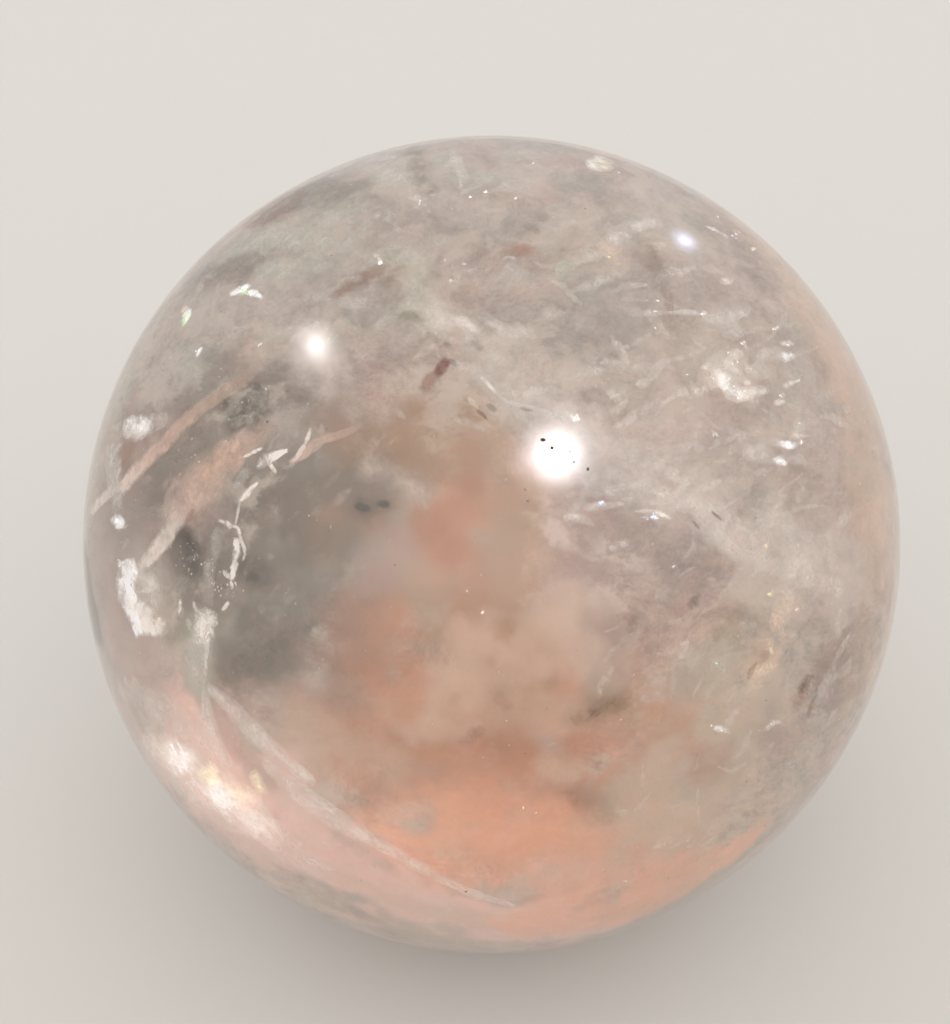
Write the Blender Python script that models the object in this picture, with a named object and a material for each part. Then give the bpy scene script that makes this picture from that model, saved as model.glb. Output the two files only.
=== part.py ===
"""A polished quartz sphere that stands by itself on a small ground flat.

Metres, +Z up. The origin is the middle of the flat, which is the lowest face of the stone.
The stone is one piece: it is cut, ground and polished from a single crystal.
"""

import math

import bmesh
import bpy

# Driving dimensions
BALL_DIAMETER = 0.130
FLAT_DIAMETER = 0.016
ROUND_STEPS = 80  # faces round the equator
ARC_STEPS = 40  # faces from the flat's edge to the top

# What follows from them
BALL_RADIUS = BALL_DIAMETER / 2
FLAT_RADIUS = FLAT_DIAMETER / 2
CENTRE_HEIGHT = math.sqrt(BALL_RADIUS**2 - FLAT_RADIUS**2)

# Below this distance two points of the turned shape are one point
MERGE_DISTANCE = 1e-6

# The edge round the flat stays crisp, and the ball's faces blend into each other
CRISP_EDGE_ANGLE = math.radians(6)

# Milky quartz: nearly colourless with a warm grey cloud, polished to a gloss, and seen through
QUARTZ_COLOUR = (0.62, 0.53, 0.46, 1.0)
QUARTZ_ROUGHNESS = 0.04
QUARTZ_IOR = 1.544
QUARTZ_TRANSMISSION = 0.6


def clear_scene():
    for old in list(bpy.data.objects):
        bpy.data.objects.remove(old)


def quartz_material():
    material = bpy.data.materials.new("milky_quartz")
    material.use_nodes = True
    shader = material.node_tree.nodes["Principled BSDF"]
    shader.inputs["Base Color"].default_value = QUARTZ_COLOUR
    shader.inputs["Roughness"].default_value = QUARTZ_ROUGHNESS
    shader.inputs["Metallic"].default_value = 0.0
    shader.inputs["IOR"].default_value = QUARTZ_IOR
    shader.inputs["Transmission Weight"].default_value = QUARTZ_TRANSMISSION
    return material


def half_outline():
    """The sphere's outline in the XZ plane, from the middle of the flat to the top."""
    flat_edge_angle = math.asin(FLAT_RADIUS / BALL_RADIUS)
    points = [(0.0, 0.0, 0.0)]
    for step in range(ARC_STEPS + 1):
        from_bottom = flat_edge_angle + (math.pi - flat_edge_angle) * step / ARC_STEPS
        points.append(
            (
                BALL_RADIUS * math.sin(from_bottom),
                0.0,
                CENTRE_HEIGHT - BALL_RADIUS * math.cos(from_bottom),
            )
        )
    return points


def turned_mesh(name, outline):
    """A closed solid made by spinning an outline once round the Z axis."""
    shape = bmesh.new()
    corners = [shape.verts.new(point) for point in outline]
    edges = [shape.edges.new(pair) for pair in zip(corners, corners[1:])]
    bmesh.ops.spin(
        shape,
        geom=corners + edges,
        cent=(0, 0, 0),
        axis=(0, 0, 1),
        angle=math.tau,
        steps=ROUND_STEPS,
        use_merge=True,
    )
    bmesh.ops.remove_doubles(shape, verts=shape.verts, dist=MERGE_DISTANCE)
    bmesh.ops.recalc_face_normals(shape, faces=shape.faces)
    mesh = bpy.data.meshes.new(name)
    shape.to_mesh(mesh)
    shape.free()
    mesh.shade_smooth()
    mesh.set_sharp_from_angle(angle=CRISP_EDGE_ANGLE)
    return mesh


def quartz_sphere():
    mesh = turned_mesh("quartz_sphere", half_outline())
    mesh.materials.append(quartz_material())
    sphere = bpy.data.objects.new("quartz_sphere", mesh)
    bpy.context.scene.collection.objects.link(sphere)
    return sphere


clear_scene()
quartz_sphere()
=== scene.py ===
import math
import random

import bmesh
import bpy
import numpy as np
from mathutils import Euler, Matrix, Vector, noise


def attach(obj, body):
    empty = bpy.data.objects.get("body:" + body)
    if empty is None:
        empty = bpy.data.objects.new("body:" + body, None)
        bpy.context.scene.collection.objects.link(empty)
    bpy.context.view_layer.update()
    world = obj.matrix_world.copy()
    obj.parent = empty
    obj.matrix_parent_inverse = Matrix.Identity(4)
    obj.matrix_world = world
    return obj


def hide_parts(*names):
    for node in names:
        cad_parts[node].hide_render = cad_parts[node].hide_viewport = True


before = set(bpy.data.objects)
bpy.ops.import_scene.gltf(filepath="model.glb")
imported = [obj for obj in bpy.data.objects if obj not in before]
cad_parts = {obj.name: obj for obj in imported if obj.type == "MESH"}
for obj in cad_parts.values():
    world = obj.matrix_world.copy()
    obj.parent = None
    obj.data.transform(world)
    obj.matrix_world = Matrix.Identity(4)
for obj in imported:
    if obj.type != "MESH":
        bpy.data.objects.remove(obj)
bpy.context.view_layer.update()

mm = 0.001

# The stone's own sizes, in millimetres, as in the CAD model
stone = {
    "diameter": 130.0,
    "flatDiameter": 16.0,
    "segments": 360,
    "rings": 180,
    "sharpFrom": 4.0,  # degrees: only the rim of the flat is an edge
    "ior": 1.544,  # quartz
    "tint": "#E9D3BF",  # what white light turns to on its way through the whole stone
}

stoneRadius = stone["diameter"] / 2 * mm
flatRadius = stone["flatDiameter"] / 2 * mm
centreHeight = math.sqrt(stoneRadius**2 - flatRadius**2)
centre = Vector((0, 0, centreHeight))

# The photograph's frame and the sphere's outline in it, in pixels
photo = {
    "width": 950,
    "height": 1024,
    "ballX": 490.4,
    "ballY": 542.0,
    "ballRadius": 409.0,
    "lens": 50.0,
    "sensor": 36.0,
    "elevation": 33.0,
    "farthest": 0.995,  # a pixel past this share of the ball's radius is taken at it
}


def linearColour(hexColour):
    channels = []
    for start in (1, 3, 5):
        value = int(hexColour[start:start + 2], 16) / 255
        channels.append(value / 12.92 if value <= 0.04045 else ((value + 0.055) / 1.055) ** 2.4)
    return (*channels, 1.0)


# Adds a node with its settings, values and links. A node as a source stands for its first output
def addNode(tree, kind, links=None, **settings):
    node = tree.nodes.new(kind)
    for name, value in settings.items():
        setattr(node, name, value)
    for socket, source in (links or {}).items():
        target = node.inputs[socket]
        if isinstance(source, bpy.types.Node):
            source = source.outputs[0]
        if isinstance(source, bpy.types.NodeSocket):
            tree.links.new(source, target)
        else:
            target.default_value = source
    return node


def newMaterial(name, values):
    material = bpy.data.materials.new(name)
    material.use_nodes = True
    tree = material.node_tree
    tree.nodes.clear()
    output = addNode(tree, "ShaderNodeOutputMaterial")
    shader = addNode(tree, "ShaderNodeBsdfPrincipled", values)
    tree.links.new(shader.outputs["BSDF"], output.inputs["Surface"])
    return material, tree, shader, output


def placeObject(name, data):
    placed = bpy.data.objects.new(name, data)
    bpy.context.scene.collection.objects.link(placed)
    return placed


# Values for each point of a mesh: a colour or one number
def storeOnPoints(mesh, name, values):
    values = np.array(values)
    if values.ndim == 2:
        layer = mesh.color_attributes.new(name, "FLOAT_COLOR", "POINT")
        layer.data.foreach_set("color", values.ravel())
    else:
        layer = mesh.attributes.new(name, "FLOAT", "POINT")
        layer.data.foreach_set("value", values)


# Camera: at the photograph's angle, with the ball's outline where the photograph has it
def makeCamera():
    pixelsPerUnit = photo["lens"] / photo["sensor"] * photo["height"]
    distance = stoneRadius / math.sin(math.atan(photo["ballRadius"] / pixelsPerUnit))
    rise = math.radians(photo["elevation"])
    back = Vector((0, -math.cos(rise), math.sin(rise)))
    data = bpy.data.cameras.new("camera")
    data.lens = photo["lens"]
    data.sensor_width = photo["sensor"]
    data.clip_start = 0.01
    camera = placeObject("camera", data)
    offsetX = photo["ballX"] - photo["width"] / 2
    offsetY = photo["ballY"] - photo["height"] / 2
    turn = Euler((math.atan(offsetY / pixelsPerUnit), math.atan(offsetX / pixelsPerUnit), 0))
    facing = (-back).to_track_quat("-Z", "Y").to_matrix() @ turn.to_matrix()
    camera.matrix_world = Matrix.Translation(centre + back * distance) @ facing.to_4x4()
    bpy.context.scene.camera = camera
    return camera.matrix_world.copy(), pixelsPerUnit


cameraPlace, pixelsPerUnit = makeCamera()
print("camera placed")


# The ray of a photograph's pixel, bent at the stone's surface: where it enters and how it runs on
def rayInStone(x, y):
    eye = cameraPlace.translation
    inCamera = Vector((
        (x - photo["width"] / 2) / pixelsPerUnit,
        (photo["height"] / 2 - y) / pixelsPerUnit,
        -1,
    ))
    ray = (cameraPlace.to_3x3() @ inCamera).normalized()
    toCentre = centre - eye
    along = toCentre.dot(ray)
    missed = (toCentre - ray * along).length
    if missed > stoneRadius * photo["farthest"]:
        nearest = eye + ray * along
        inner = centre + (nearest - centre).normalized() * stoneRadius * photo["farthest"]
        ray = (inner - eye).normalized()
        along = toCentre.dot(ray)
        missed = (toCentre - ray * along).length
    entry = eye + ray * (along - math.sqrt(stoneRadius**2 - missed**2))
    normal = (entry - centre).normalized()
    ratio = 1 / stone["ior"]
    cosine = -normal.dot(ray)
    bent = ray * ratio + normal * (ratio * cosine - math.sqrt(1 - ratio**2 * (1 - cosine**2)))
    return entry, bent.normalized()


# depth 0 is the near surface and 1 the far one, along the bent ray
def insideStone(x, y, depth):
    entry, bent = rayInStone(x, y)
    chord = -2 * bent.dot(entry - centre)
    return entry + bent * chord * depth


# Where the bent ray crosses a shell of this share of the radius, on its near or its far side
def onShell(x, y, share, far=False):
    entry, bent = rayInStone(x, y)
    middle = -bent.dot(entry - centre)
    closest = (entry + bent * middle - centre).length
    half = math.sqrt(max((stoneRadius * share)**2 - closest**2, 0))
    return entry + bent * (middle + (half if far else -half))


# A Geometry Nodes tree with named inputs
def newShapeTree(name, inputs):
    tree = bpy.data.node_groups.new(name, "GeometryNodeTree")
    tree.interface.new_socket("Geometry", in_out="OUTPUT", socket_type="NodeSocketGeometry")
    for label, kind, value in inputs:
        socket = tree.interface.new_socket(label, in_out="INPUT", socket_type=kind)
        if value is not None:
            socket.default_value = value
    return tree, addNode(tree, "NodeGroupInput").outputs, addNode(tree, "NodeGroupOutput")


def finishTree(tree, shape, given, result):
    finish = addNode(tree, "GeometryNodeSetMaterial", {"Geometry": shape, "Material": given["Material"]})
    tree.links.new(finish.outputs[0], result.inputs[0])
    return tree


# Runs a tree on an empty mesh, or on a given one, and keeps the result as a plain mesh
def shapeFromTree(name, tree, values, source=None):
    holder = placeObject(name, source or bpy.data.meshes.new(name))
    modifier = holder.modifiers.new("shape", "NODES")
    modifier.node_group = tree
    for item in tree.interface.items_tree:
        if item.in_out == "INPUT" and item.name in values:
            modifier[item.identifier] = values[item.name]
    graph = bpy.context.evaluated_depsgraph_get()
    mesh = bpy.data.meshes.new_from_object(holder.evaluated_get(graph))
    mesh.name = name
    holder.modifiers.clear()
    holder.data = mesh
    return holder


# Polished quartz: clear as glass at the surface, with a faint warm cast in its depth
def polishedQuartz():
    material, tree, shader, output = newMaterial("polishedQuartz", {
        "Base Color": (1, 1, 1, 1),
        "Transmission Weight": 1.0,
        "IOR": stone["ior"],
        "Roughness": 0.0,
    })
    volume = addNode(tree, "ShaderNodeVolumeAbsorption", {
        "Color": linearColour(stone["tint"]),
        "Density": 1 / (stone["diameter"] * mm),
    })
    tree.links.new(volume.outputs["Volume"], output.inputs["Volume"])
    return material


# The stone's surface: an arc turned once round, closed below by the ground flat
def stoneShapeTree():
    tree, given, result = newShapeTree("stone shape", [
        ("Radius", "NodeSocketFloat", stoneRadius),
        ("Flat Radius", "NodeSocketFloat", flatRadius),
        ("Segments", "NodeSocketInt", stone["segments"]),
        ("Rings", "NodeSocketInt", stone["rings"]),
        ("Material", "NodeSocketMaterial", None),
    ])
    columns = addNode(tree, "ShaderNodeMath", {0: given["Segments"], 1: 1}, operation="ADD")
    rows = addNode(tree, "ShaderNodeMath", {0: given["Rings"], 1: 1}, operation="ADD")
    grid = addNode(tree, "GeometryNodeMeshGrid", {
        "Size X": 1.0,
        "Size Y": 1.0,
        "Vertices X": columns,
        "Vertices Y": rows,
    })
    place = addNode(tree, "ShaderNodeSeparateXYZ", {0: addNode(tree, "GeometryNodeInputPosition")})
    round_ = addNode(tree, "ShaderNodeMath", {0: place, 1: math.tau}, operation="MULTIPLY")
    share = addNode(tree, "ShaderNodeMath", {0: given["Flat Radius"], 1: given["Radius"]}, operation="DIVIDE")
    edge = addNode(tree, "ShaderNodeMath", {0: share}, operation="ARCSINE")
    rise = addNode(tree, "ShaderNodeMapRange", {
        "Value": place.outputs[1],
        "From Min": -0.5,
        "From Max": 0.5,
        "To Min": edge,
        "To Max": math.pi,
    })
    sine = addNode(tree, "ShaderNodeMath", {0: rise}, operation="SINE")
    cosine = addNode(tree, "ShaderNodeMath", {0: rise}, operation="COSINE")
    out = addNode(tree, "ShaderNodeMath", {0: sine, 1: given["Radius"]}, operation="MULTIPLY")
    up = addNode(tree, "ShaderNodeMath", {0: cosine, 1: given["Radius"]}, operation="MULTIPLY")
    lift = addNode(tree, "ShaderNodeMath", {0: edge}, operation="COSINE")
    middle = addNode(tree, "ShaderNodeMath", {0: lift, 1: given["Radius"]}, operation="MULTIPLY")
    height = addNode(tree, "ShaderNodeMath", {0: middle, 1: up}, operation="SUBTRACT")
    across = addNode(tree, "ShaderNodeMath", {0: round_}, operation="COSINE")
    deep = addNode(tree, "ShaderNodeMath", {0: round_}, operation="SINE")
    x = addNode(tree, "ShaderNodeMath", {0: out, 1: across}, operation="MULTIPLY")
    y = addNode(tree, "ShaderNodeMath", {0: out, 1: deep}, operation="MULTIPLY")
    point = addNode(tree, "ShaderNodeCombineXYZ", {0: x, 1: y, 2: height})
    turned = addNode(tree, "GeometryNodeSetPosition", {"Geometry": grid.outputs["Mesh"], "Position": point})
    flat = addNode(tree, "GeometryNodeMeshCircle", {
        "Vertices": given["Segments"],
        "Radius": given["Flat Radius"],
    }, fill_type="TRIANGLE_FAN")
    joined = addNode(tree, "GeometryNodeJoinGeometry")
    tree.links.new(turned.outputs[0], joined.inputs[0])
    tree.links.new(flat.outputs[0], joined.inputs[0])
    closed = addNode(tree, "GeometryNodeMergeByDistance", {"Geometry": joined, "Distance": 1e-6})
    return finishTree(tree, closed, given, result)


def facesOutwards(mesh):
    shape = bmesh.new()
    shape.from_mesh(mesh)
    bmesh.ops.recalc_face_normals(shape, faces=shape.faces)
    shape.to_mesh(mesh)
    shape.free()


def makeStone():
    ball = shapeFromTree("stone", stoneShapeTree(), {"Material": polishedQuartz()})
    facesOutwards(ball.data)
    ball.data.shade_smooth()
    ball.data.set_sharp_from_angle(angle=math.radians(stone["sharpFrom"]))
    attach(ball, "root")
    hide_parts("quartz_sphere")


makeStone()
print("stone made")

# The milk's casts, as sRGB at full lightness, and its tints: a cast and how light it is
casts = {
    "milky": "#FFF0E0",  # bubbles too fine to see, under warm light
    "cool": "#FFF5EC",  # the same where they lie thick
    "green": "#FFFFEC",
    "pink": "#FFDDD2",
    "cream": "#FFE4CC",  # a trace of iron
    "earth": "#FFD0A4",
    "iron": "#FFC0A0",
    "rusty": "#FF9E58",
    # painted shade: the next cast is the dark behind the stone, seen through its clear quartz, and every tint
    # made from it paints that dark
    "darkBehind": "#FFECD2",  # clear quartz with the dark behind it
}
milkTints = {
    "milk": ("milky", 0.74),
    "pale": ("cool", 0.77),
    "white": ("cool", 0.85),
    "greenWhite": ("green", 0.76),
    "greyGreen": ("cool", 0.66),
    "greyDark": ("darkBehind", 0.54),
    "pinkGrey": ("pink", 0.71),
    "mauve": ("pink", 0.60),
    "mauveRed": ("iron", 0.66),
    "beige": ("cream", 0.88),
    "cream": ("cream", 0.90),
    "creamYellow": ("cream", 0.94),
    "warm": ("iron", 0.80),
    "orange": ("rusty", 0.64),
    "ochre": ("earth", 0.66),
    "salmon": ("iron", 1.00),
    "brown": ("iron", 0.55),
    "olive": ("earth", 0.58),
    "oliveDark": ("darkBehind", 0.44),
    # painted shade: the next three tints paint the dark behind the stone where it shows through clear quartz;
    # the darkest also darkens the pits in the polish
    "smoke": ("milky", 0.54),
    "smokeDark": ("darkBehind", 0.27),
    "paintedDarkGreen": ("green", 0.46),
    "lavender": ("pink", 0.98),
    "lavenderWhite": ("cool", 1.00),
    "puff": ("milky", 0.88),
}

# The flakes and cracks in front of the milk, as sRGB
tints = {
    "spark": "#FFFFFF",
    "snow": "#F2EAE1",
    "ash": "#D9D2CA",
    "candle": "#FFF1CE",
    "rose": "#F6DAD4",
    "lath": "#EBCAB8",
    "lathTan": "#DABBA6",
    "lathPale": "#F1E4D8",
    "rust": "#7E3B2C",
    "yellow": "#F3E5A8",
    "ice": "#E2ECFF",
    "leaf": "#D4F2C2",
    "soot": "#2E2623",
}


def dimmed(hexColour, lightness):
    channels = [round(int(hexColour[start:start + 2], 16) * lightness) for start in (1, 3, 5)]
    return "#%02X%02X%02X" % tuple(channels)


tints.update({name: dimmed(casts[cast], lightness) for name, (cast, lightness) in milkTints.items()})

# The skin's tones: a tint, a path of pixels, its half width in pixels, and how far it goes
skinStrokes = [
    # wide tones
    ("pale", [(600, 260), (740, 330), (800, 450), (640, 420)], 130, 0.45),
    ("pale", [(200, 280), (300, 270), (430, 190)], 60, 0.4),
    ("oliveDark", [(270, 500), (330, 490), (385, 485), (330, 545)], 54, 0.85),
    ("olive", [(350, 440), (420, 450)], 26, 0.7),
    ("ochre", [(470, 500), (500, 600), (470, 700), (560, 720)], 110, 0.85),
    ("mauve", [(580, 560), (650, 550), (700, 590)], 58, 0.8),
    ("beige", [(640, 660), (700, 690), (690, 730), (760, 760)], 70, 0.7),
    ("warm", [(380, 760), (480, 780), (600, 750)], 90, 0.7),
    ("salmon", [(440, 860), (520, 850), (620, 870)], 70, 0.8),
    ("lavender", [(180, 700), (300, 830), (430, 910), (560, 935)], 46, 0.85),
    ("lavender", [(120, 650), (180, 760), (270, 840)], 46, 0.9),
    ("pinkGrey", [(212, 712), (236, 742), (262, 776)], 13, 0.6),
    ("beige", [(350, 882), (430, 912), (520, 926)], 16, 0.5),
    # painted light: a pale stroke along the bottom rim that lifts the shade the floor casts there
    ("salmon", [(540, 930), (600, 916), (680, 886), (740, 846)], 20, 0.8),
    # painted light: a bright cream band down the right rim, where the light falls on the stone's edge
    ("cream", [(800, 270), (862, 400), (880, 520), (872, 640)], 26, 0.9),
    ("cream", [(330, 150), (500, 128), (640, 160)], 10, 0.4),
    # the left windows: painted shade, the dark behind the stone seen through its clear parts
    ("greyGreen", [(300, 400), (250, 420), (190, 470), (150, 520), (200, 580)], 46, 0.5),
    ("smoke", [(180, 392), (198, 376), (226, 362)], 20, 0.9),
    ("smoke", [(222, 420), (244, 404), (262, 392)], 25, 0.95),
    ("smokeDark", [(238, 410), (246, 400)], 13, 0.7),
    ("smoke", [(296, 382), (304, 396)], 17, 0.85),
    ("smoke", [(166, 470), (186, 450), (206, 430)], 26, 0.75),
    ("smoke", [(130, 502), (146, 492), (156, 486)], 18, 0.6),
    ("smoke", [(212, 520), (224, 500), (232, 484)], 18, 0.55),
    ("smoke", [(190, 542), (192, 570), (194, 604)], 16, 0.9),
    ("smokeDark", [(186, 546), (190, 562)], 13, 0.75),
    ("smoke", [(214, 560), (222, 590)], 17, 0.85),
    ("smoke", [(240, 572), (262, 576), (284, 582)], 17, 0.9),
    ("smokeDark", [(246, 576), (262, 578)], 10, 0.35),
    ("paintedDarkGreen", [(228, 668), (262, 652), (296, 630), (318, 612)], 30, 0.85),
    ("smoke", [(240, 664), (268, 648), (288, 634)], 20, 0.75),
    ("greyDark", [(300, 600), (330, 580), (360, 570)], 26, 0.5),
    ("smokeDark", [(360, 506), (366, 509)], 10, 0.75),
    ("smokeDark", [(384, 503)], 10, 0.75),
    ("mauve", [(150, 400), (125, 450), (112, 480)], 16, 0.8),
    ("brown", [(125, 452)], 9, 0.6),
    ("greyGreen", [(290, 605), (330, 600)], 24, 0.4),
    ("pinkGrey", [(320, 650), (350, 630)], 22, 0.6),
    # the left rim
    ("greenWhite", [(88, 480), (83, 540), (94, 620), (112, 668)], 10, 0.8),
    ("white", [(98, 622), (112, 658), (130, 702)], 12, 0.75),
    ("greyGreen", [(100, 560), (112, 620), (140, 680)], 26, 0.6),
    ("paintedDarkGreen", [(87, 560), (90, 600), (95, 625)], 5, 0.9),
    ("greenWhite", [(196, 640), (200, 680)], 16, 0.8),
    # the warm middle
    ("warm", [(450, 540), (456, 500)], 40, 0.9),
    ("orange", [(456, 508), (440, 540)], 30, 0.5),
    ("orange", [(470, 560), (478, 610), (492, 650)], 28, 0.42),
    ("ochre", [(520, 500), (530, 560), (520, 620)], 30, 0.8),
    ("pinkGrey", [(400, 545), (372, 565)], 24, 0.6),
    ("mauveRed", [(350, 636), (362, 672), (380, 708)], 38, 0.5),
    ("mauveRed", [(392, 728), (375, 718)], 26, 0.4),
    ("mauve", [(345, 700), (330, 690)], 20, 0.4),
    ("mauveRed", [(474, 736), (494, 722), (512, 752)], 26, 0.6),
    ("brown", [(500, 695)], 12, 0.4),
    ("cream", [(468, 656), (445, 682), (424, 702)], 34, 0.85),
    ("cream", [(574, 630), (600, 658)], 26, 0.9),
    ("white", [(576, 634), (596, 656)], 20, 0.45),
    ("beige", [(560, 600), (540, 650)], 26, 0.5),
    ("olive", [(576, 718), (628, 702)], 11, 0.6),
    ("brown", [(574, 790), (604, 812)], 16, 0.5),
    ("beige", [(640, 790), (665, 800)], 34, 0.8),
    ("mauveRed", [(706, 772)], 22, 0.5),
    ("beige", [(700, 835), (740, 815)], 36, 0.7),
    ("salmon", [(480, 804), (530, 828)], 48, 0.42),
    ("salmon", [(396, 816), (434, 802), (446, 826)], 30, 0.7),
    ("warm", [(360, 770), (350, 740)], 28, 0.5),
    ("greyGreen", [(560, 752), (548, 742)], 9, 0.6),
    # the right side
    ("mauve", [(600, 528), (640, 528)], 20, 0.5),
    # painted shade: a dark spot where the dark behind the stone shows through
    ("smoke", [(700, 584), (692, 604)], 7, 0.85),
    ("mauveRed", [(716, 552), (738, 560)], 14, 0.6),
    ("creamYellow", [(792, 585), (782, 620), (770, 650), (756, 672)], 14, 0.8),
    ("pale", [(781, 624)], 14, 0.8),
    ("mauveRed", [(764, 655)], 7, 0.5),
    ("pinkGrey", [(690, 610), (672, 640), (650, 650)], 34, 0.6),
    ("greenWhite", [(716, 655), (696, 665)], 24, 0.5),
    ("brown", [(806, 684), (802, 696)], 9, 0.9),
    ("mauve", [(812, 610), (806, 590)], 10, 0.6),
    ("mauve", [(832, 640), (830, 672), (816, 706)], 12, 0.7),
    ("greyGreen", [(780, 760), (800, 745)], 26, 0.6),
    ("pinkGrey", [(760, 780), (782, 742)], 18, 0.5),
    ("mauve", [(700, 404), (745, 424), (775, 432)], 20, 0.4),
    ("pale", [(816, 516), (826, 530)], 20, 0.6),
    ("pinkGrey", [(796, 492)], 20, 0.5),
    ("white", [(718, 372), (728, 384), (748, 392)], 12, 0.9),
    ("pale", [(690, 470), (640, 480)], 30, 0.3),
    ("greyGreen", [(700, 500), (740, 470), (760, 440)], 26, 0.4),
    # the healed crack that runs from the top to the right
    ("greenWhite", [(398, 262), (412, 296), (440, 326), (464, 326)], 17, 0.95),
    ("white", [(452, 322), (474, 330)], 9, 0.8),
    ("pale", [(470, 335), (490, 374), (520, 398), (585, 420)], 18, 0.8),
    ("pale", [(585, 430), (620, 465), (665, 500), (710, 518)], 22, 0.85),
    ("white", [(690, 510), (740, 535), (790, 556), (850, 580)], 28, 0.8),
    ("pinkGrey", [(740, 520), (760, 560)], 18, 0.5),
    # the top
    ("brown", [(296, 204), (284, 212)], 12, 0.9),
    ("greyDark", [(312, 190), (338, 192), (345, 205)], 20, 0.9),
    ("greenWhite", [(372, 160), (394, 168), (402, 150)], 16, 0.8),
    ("greyDark", [(414, 152), (420, 175), (428, 192)], 9, 0.9),
    ("greenWhite", [(448, 152), (456, 176)], 12, 0.8),
    ("mauve", [(480, 152), (492, 168)], 9, 0.6),
    ("greenWhite", [(520, 156), (545, 160)], 13, 0.6),
    ("greyGreen", [(560, 182), (585, 180), (604, 192)], 13, 0.8),
    ("pinkGrey", [(540, 196), (506, 200)], 14, 0.6),
    ("greyGreen", [(200, 272), (226, 262), (254, 258)], 12, 0.8),
    ("greenWhite", [(236, 248), (280, 232), (330, 214)], 16, 0.7),
    ("greyGreen", [(352, 232), (370, 214)], 16, 0.6),
    ("greenWhite", [(300, 262), (340, 248)], 20, 0.5),
    ("brown", [(340, 294), (360, 276), (392, 272)], 10, 0.55),
    ("mauve", [(372, 284), (396, 292)], 12, 0.6),
    ("pale", [(345, 304), (362, 300)], 12, 0.7),
    ("greyGreen", [(440, 215), (470, 232), (520, 222)], 24, 0.7),
    ("mauve", [(455, 258), (480, 262), (474, 246)], 13, 0.7),
    ("pale", [(500, 282), (528, 278), (518, 262)], 13, 0.85),
    ("pinkGrey", [(478, 290), (492, 284)], 10, 0.6),
    ("mauveRed", [(522, 251)], 9, 0.7),
    ("greenWhite", [(560, 275), (584, 256), (612, 256)], 9, 0.9),
    ("white", [(612, 248), (628, 234), (654, 223)], 8, 0.9),
    ("greyDark", [(640, 240), (652, 256), (662, 280)], 11, 0.6),
    ("brown", [(664, 282), (669, 300)], 8, 0.5),
    ("greyGreen", [(606, 284), (584, 298), (624, 286)], 18, 0.8),
    ("greyGreen", [(640, 320), (650, 304)], 16, 0.6),
    ("greyGreen", [(520, 320), (560, 340), (620, 345)], 34, 0.6),
    ("greyGreen", [(690, 262), (704, 290)], 18, 0.6),
    ("mauve", [(754, 262), (764, 280)], 12, 0.7),
    ("pale", [(690, 308), (716, 318), (744, 312)], 7, 0.7),
    ("mauve", [(620, 410), (590, 396)], 16, 0.5),
    ("greyGreen", [(400, 362), (380, 330)], 18, 0.5),
    ("pale", [(270, 308), (284, 330), (300, 318)], 16, 0.5),
    # painted shade: a faint dark line of the dark seen through the stone
    ("smoke", [(444, 358), (436, 374)], 4, 0.3),
    ("white", [(316, 366), (328, 376)], 22, 0.5),
    ("pale", [(172, 366), (160, 384)], 15, 0.85),
    ("white", [(614, 268), (626, 274)], 18, 0.55),
    ("pale", [(464, 270), (480, 274)], 18, 0.5),
    ("pale", [(716, 424), (728, 436)], 22, 0.5),
    ("white", [(816, 418), (824, 436)], 22, 0.4),
    ("mauve", [(876, 612), (868, 640)], 17, 0.6),
    ("mauve", [(604, 614), (624, 624)], 20, 0.5),
    ("mauve", [(598, 560), (610, 556)], 22, 0.4),
    # painted shade: more of the dark seen through the left windows
    ("smoke", [(173, 560), (173, 590), (174, 624)], 11, 0.7),
    ("olive", [(412, 470), (432, 476)], 24, 0.65),
    ("olive", [(320, 418), (332, 424)], 20, 0.4),
    ("orange", [(416, 512), (426, 530)], 20, 0.4),
    ("olive", [(448, 478), (470, 470)], 20, 0.6),
    ("orange", [(448, 486), (462, 482)], 14, 0.35),
    ("ochre", [(494, 552), (506, 574)], 22, 0.5),
    ("cream", [(476, 684), (500, 676), (526, 670)], 24, 0.6),
    ("beige", [(466, 716), (520, 704), (562, 718)], 22, 0.4),
    ("beige", [(296, 724), (330, 756), (386, 762)], 24, 0.45),
    ("warm", [(586, 762), (608, 762)], 24, 0.7),
    ("warm", [(402, 636), (408, 664), (404, 690)], 26, 0.75),
    ("mauve", [(554, 528), (568, 534)], 20, 0.7),
    ("greyDark", [(634, 528), (648, 534)], 15, 0.5),
    ("mauve", [(674, 528), (690, 536)], 18, 0.7),
    # painted shade: more of the dark seen through the left windows
    ("smokeDark", [(236, 408), (248, 412)], 14, 0.7),
    ("greyDark", [(206, 280), (226, 271), (246, 264)], 11, 0.7),
    ("olive", [(436, 408), (448, 418)], 18, 0.6),
    # painted shade: the dark seen through the left windows, in these two strokes
    ("smoke", [(268, 436), (290, 446)], 14, 0.6),
    ("smoke", [(266, 484), (252, 506), (247, 530)], 13, 0.65),
    ("mauve", [(600, 572), (642, 606), (676, 612)], 20, 0.5),
    ("brown", [(318, 650), (326, 658)], 15, 0.35),
    ("greyDark", [(598, 688), (606, 694)], 14, 0.5),
    ("lavender", [(274, 762), (288, 776)], 16, 0.7),
    ("beige", [(554, 768), (568, 774)], 18, 0.7),
    ("pale", [(150, 568), (152, 580)], 12, 0.7),
    ("pale", [(640, 288), (684, 292)], 18, 0.6),
    # painted light: more of the pale stroke that lifts the floor's shade on the bottom rim
    ("salmon", [(650, 884), (690, 872), (726, 856)], 20, 0.6),
]

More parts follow.
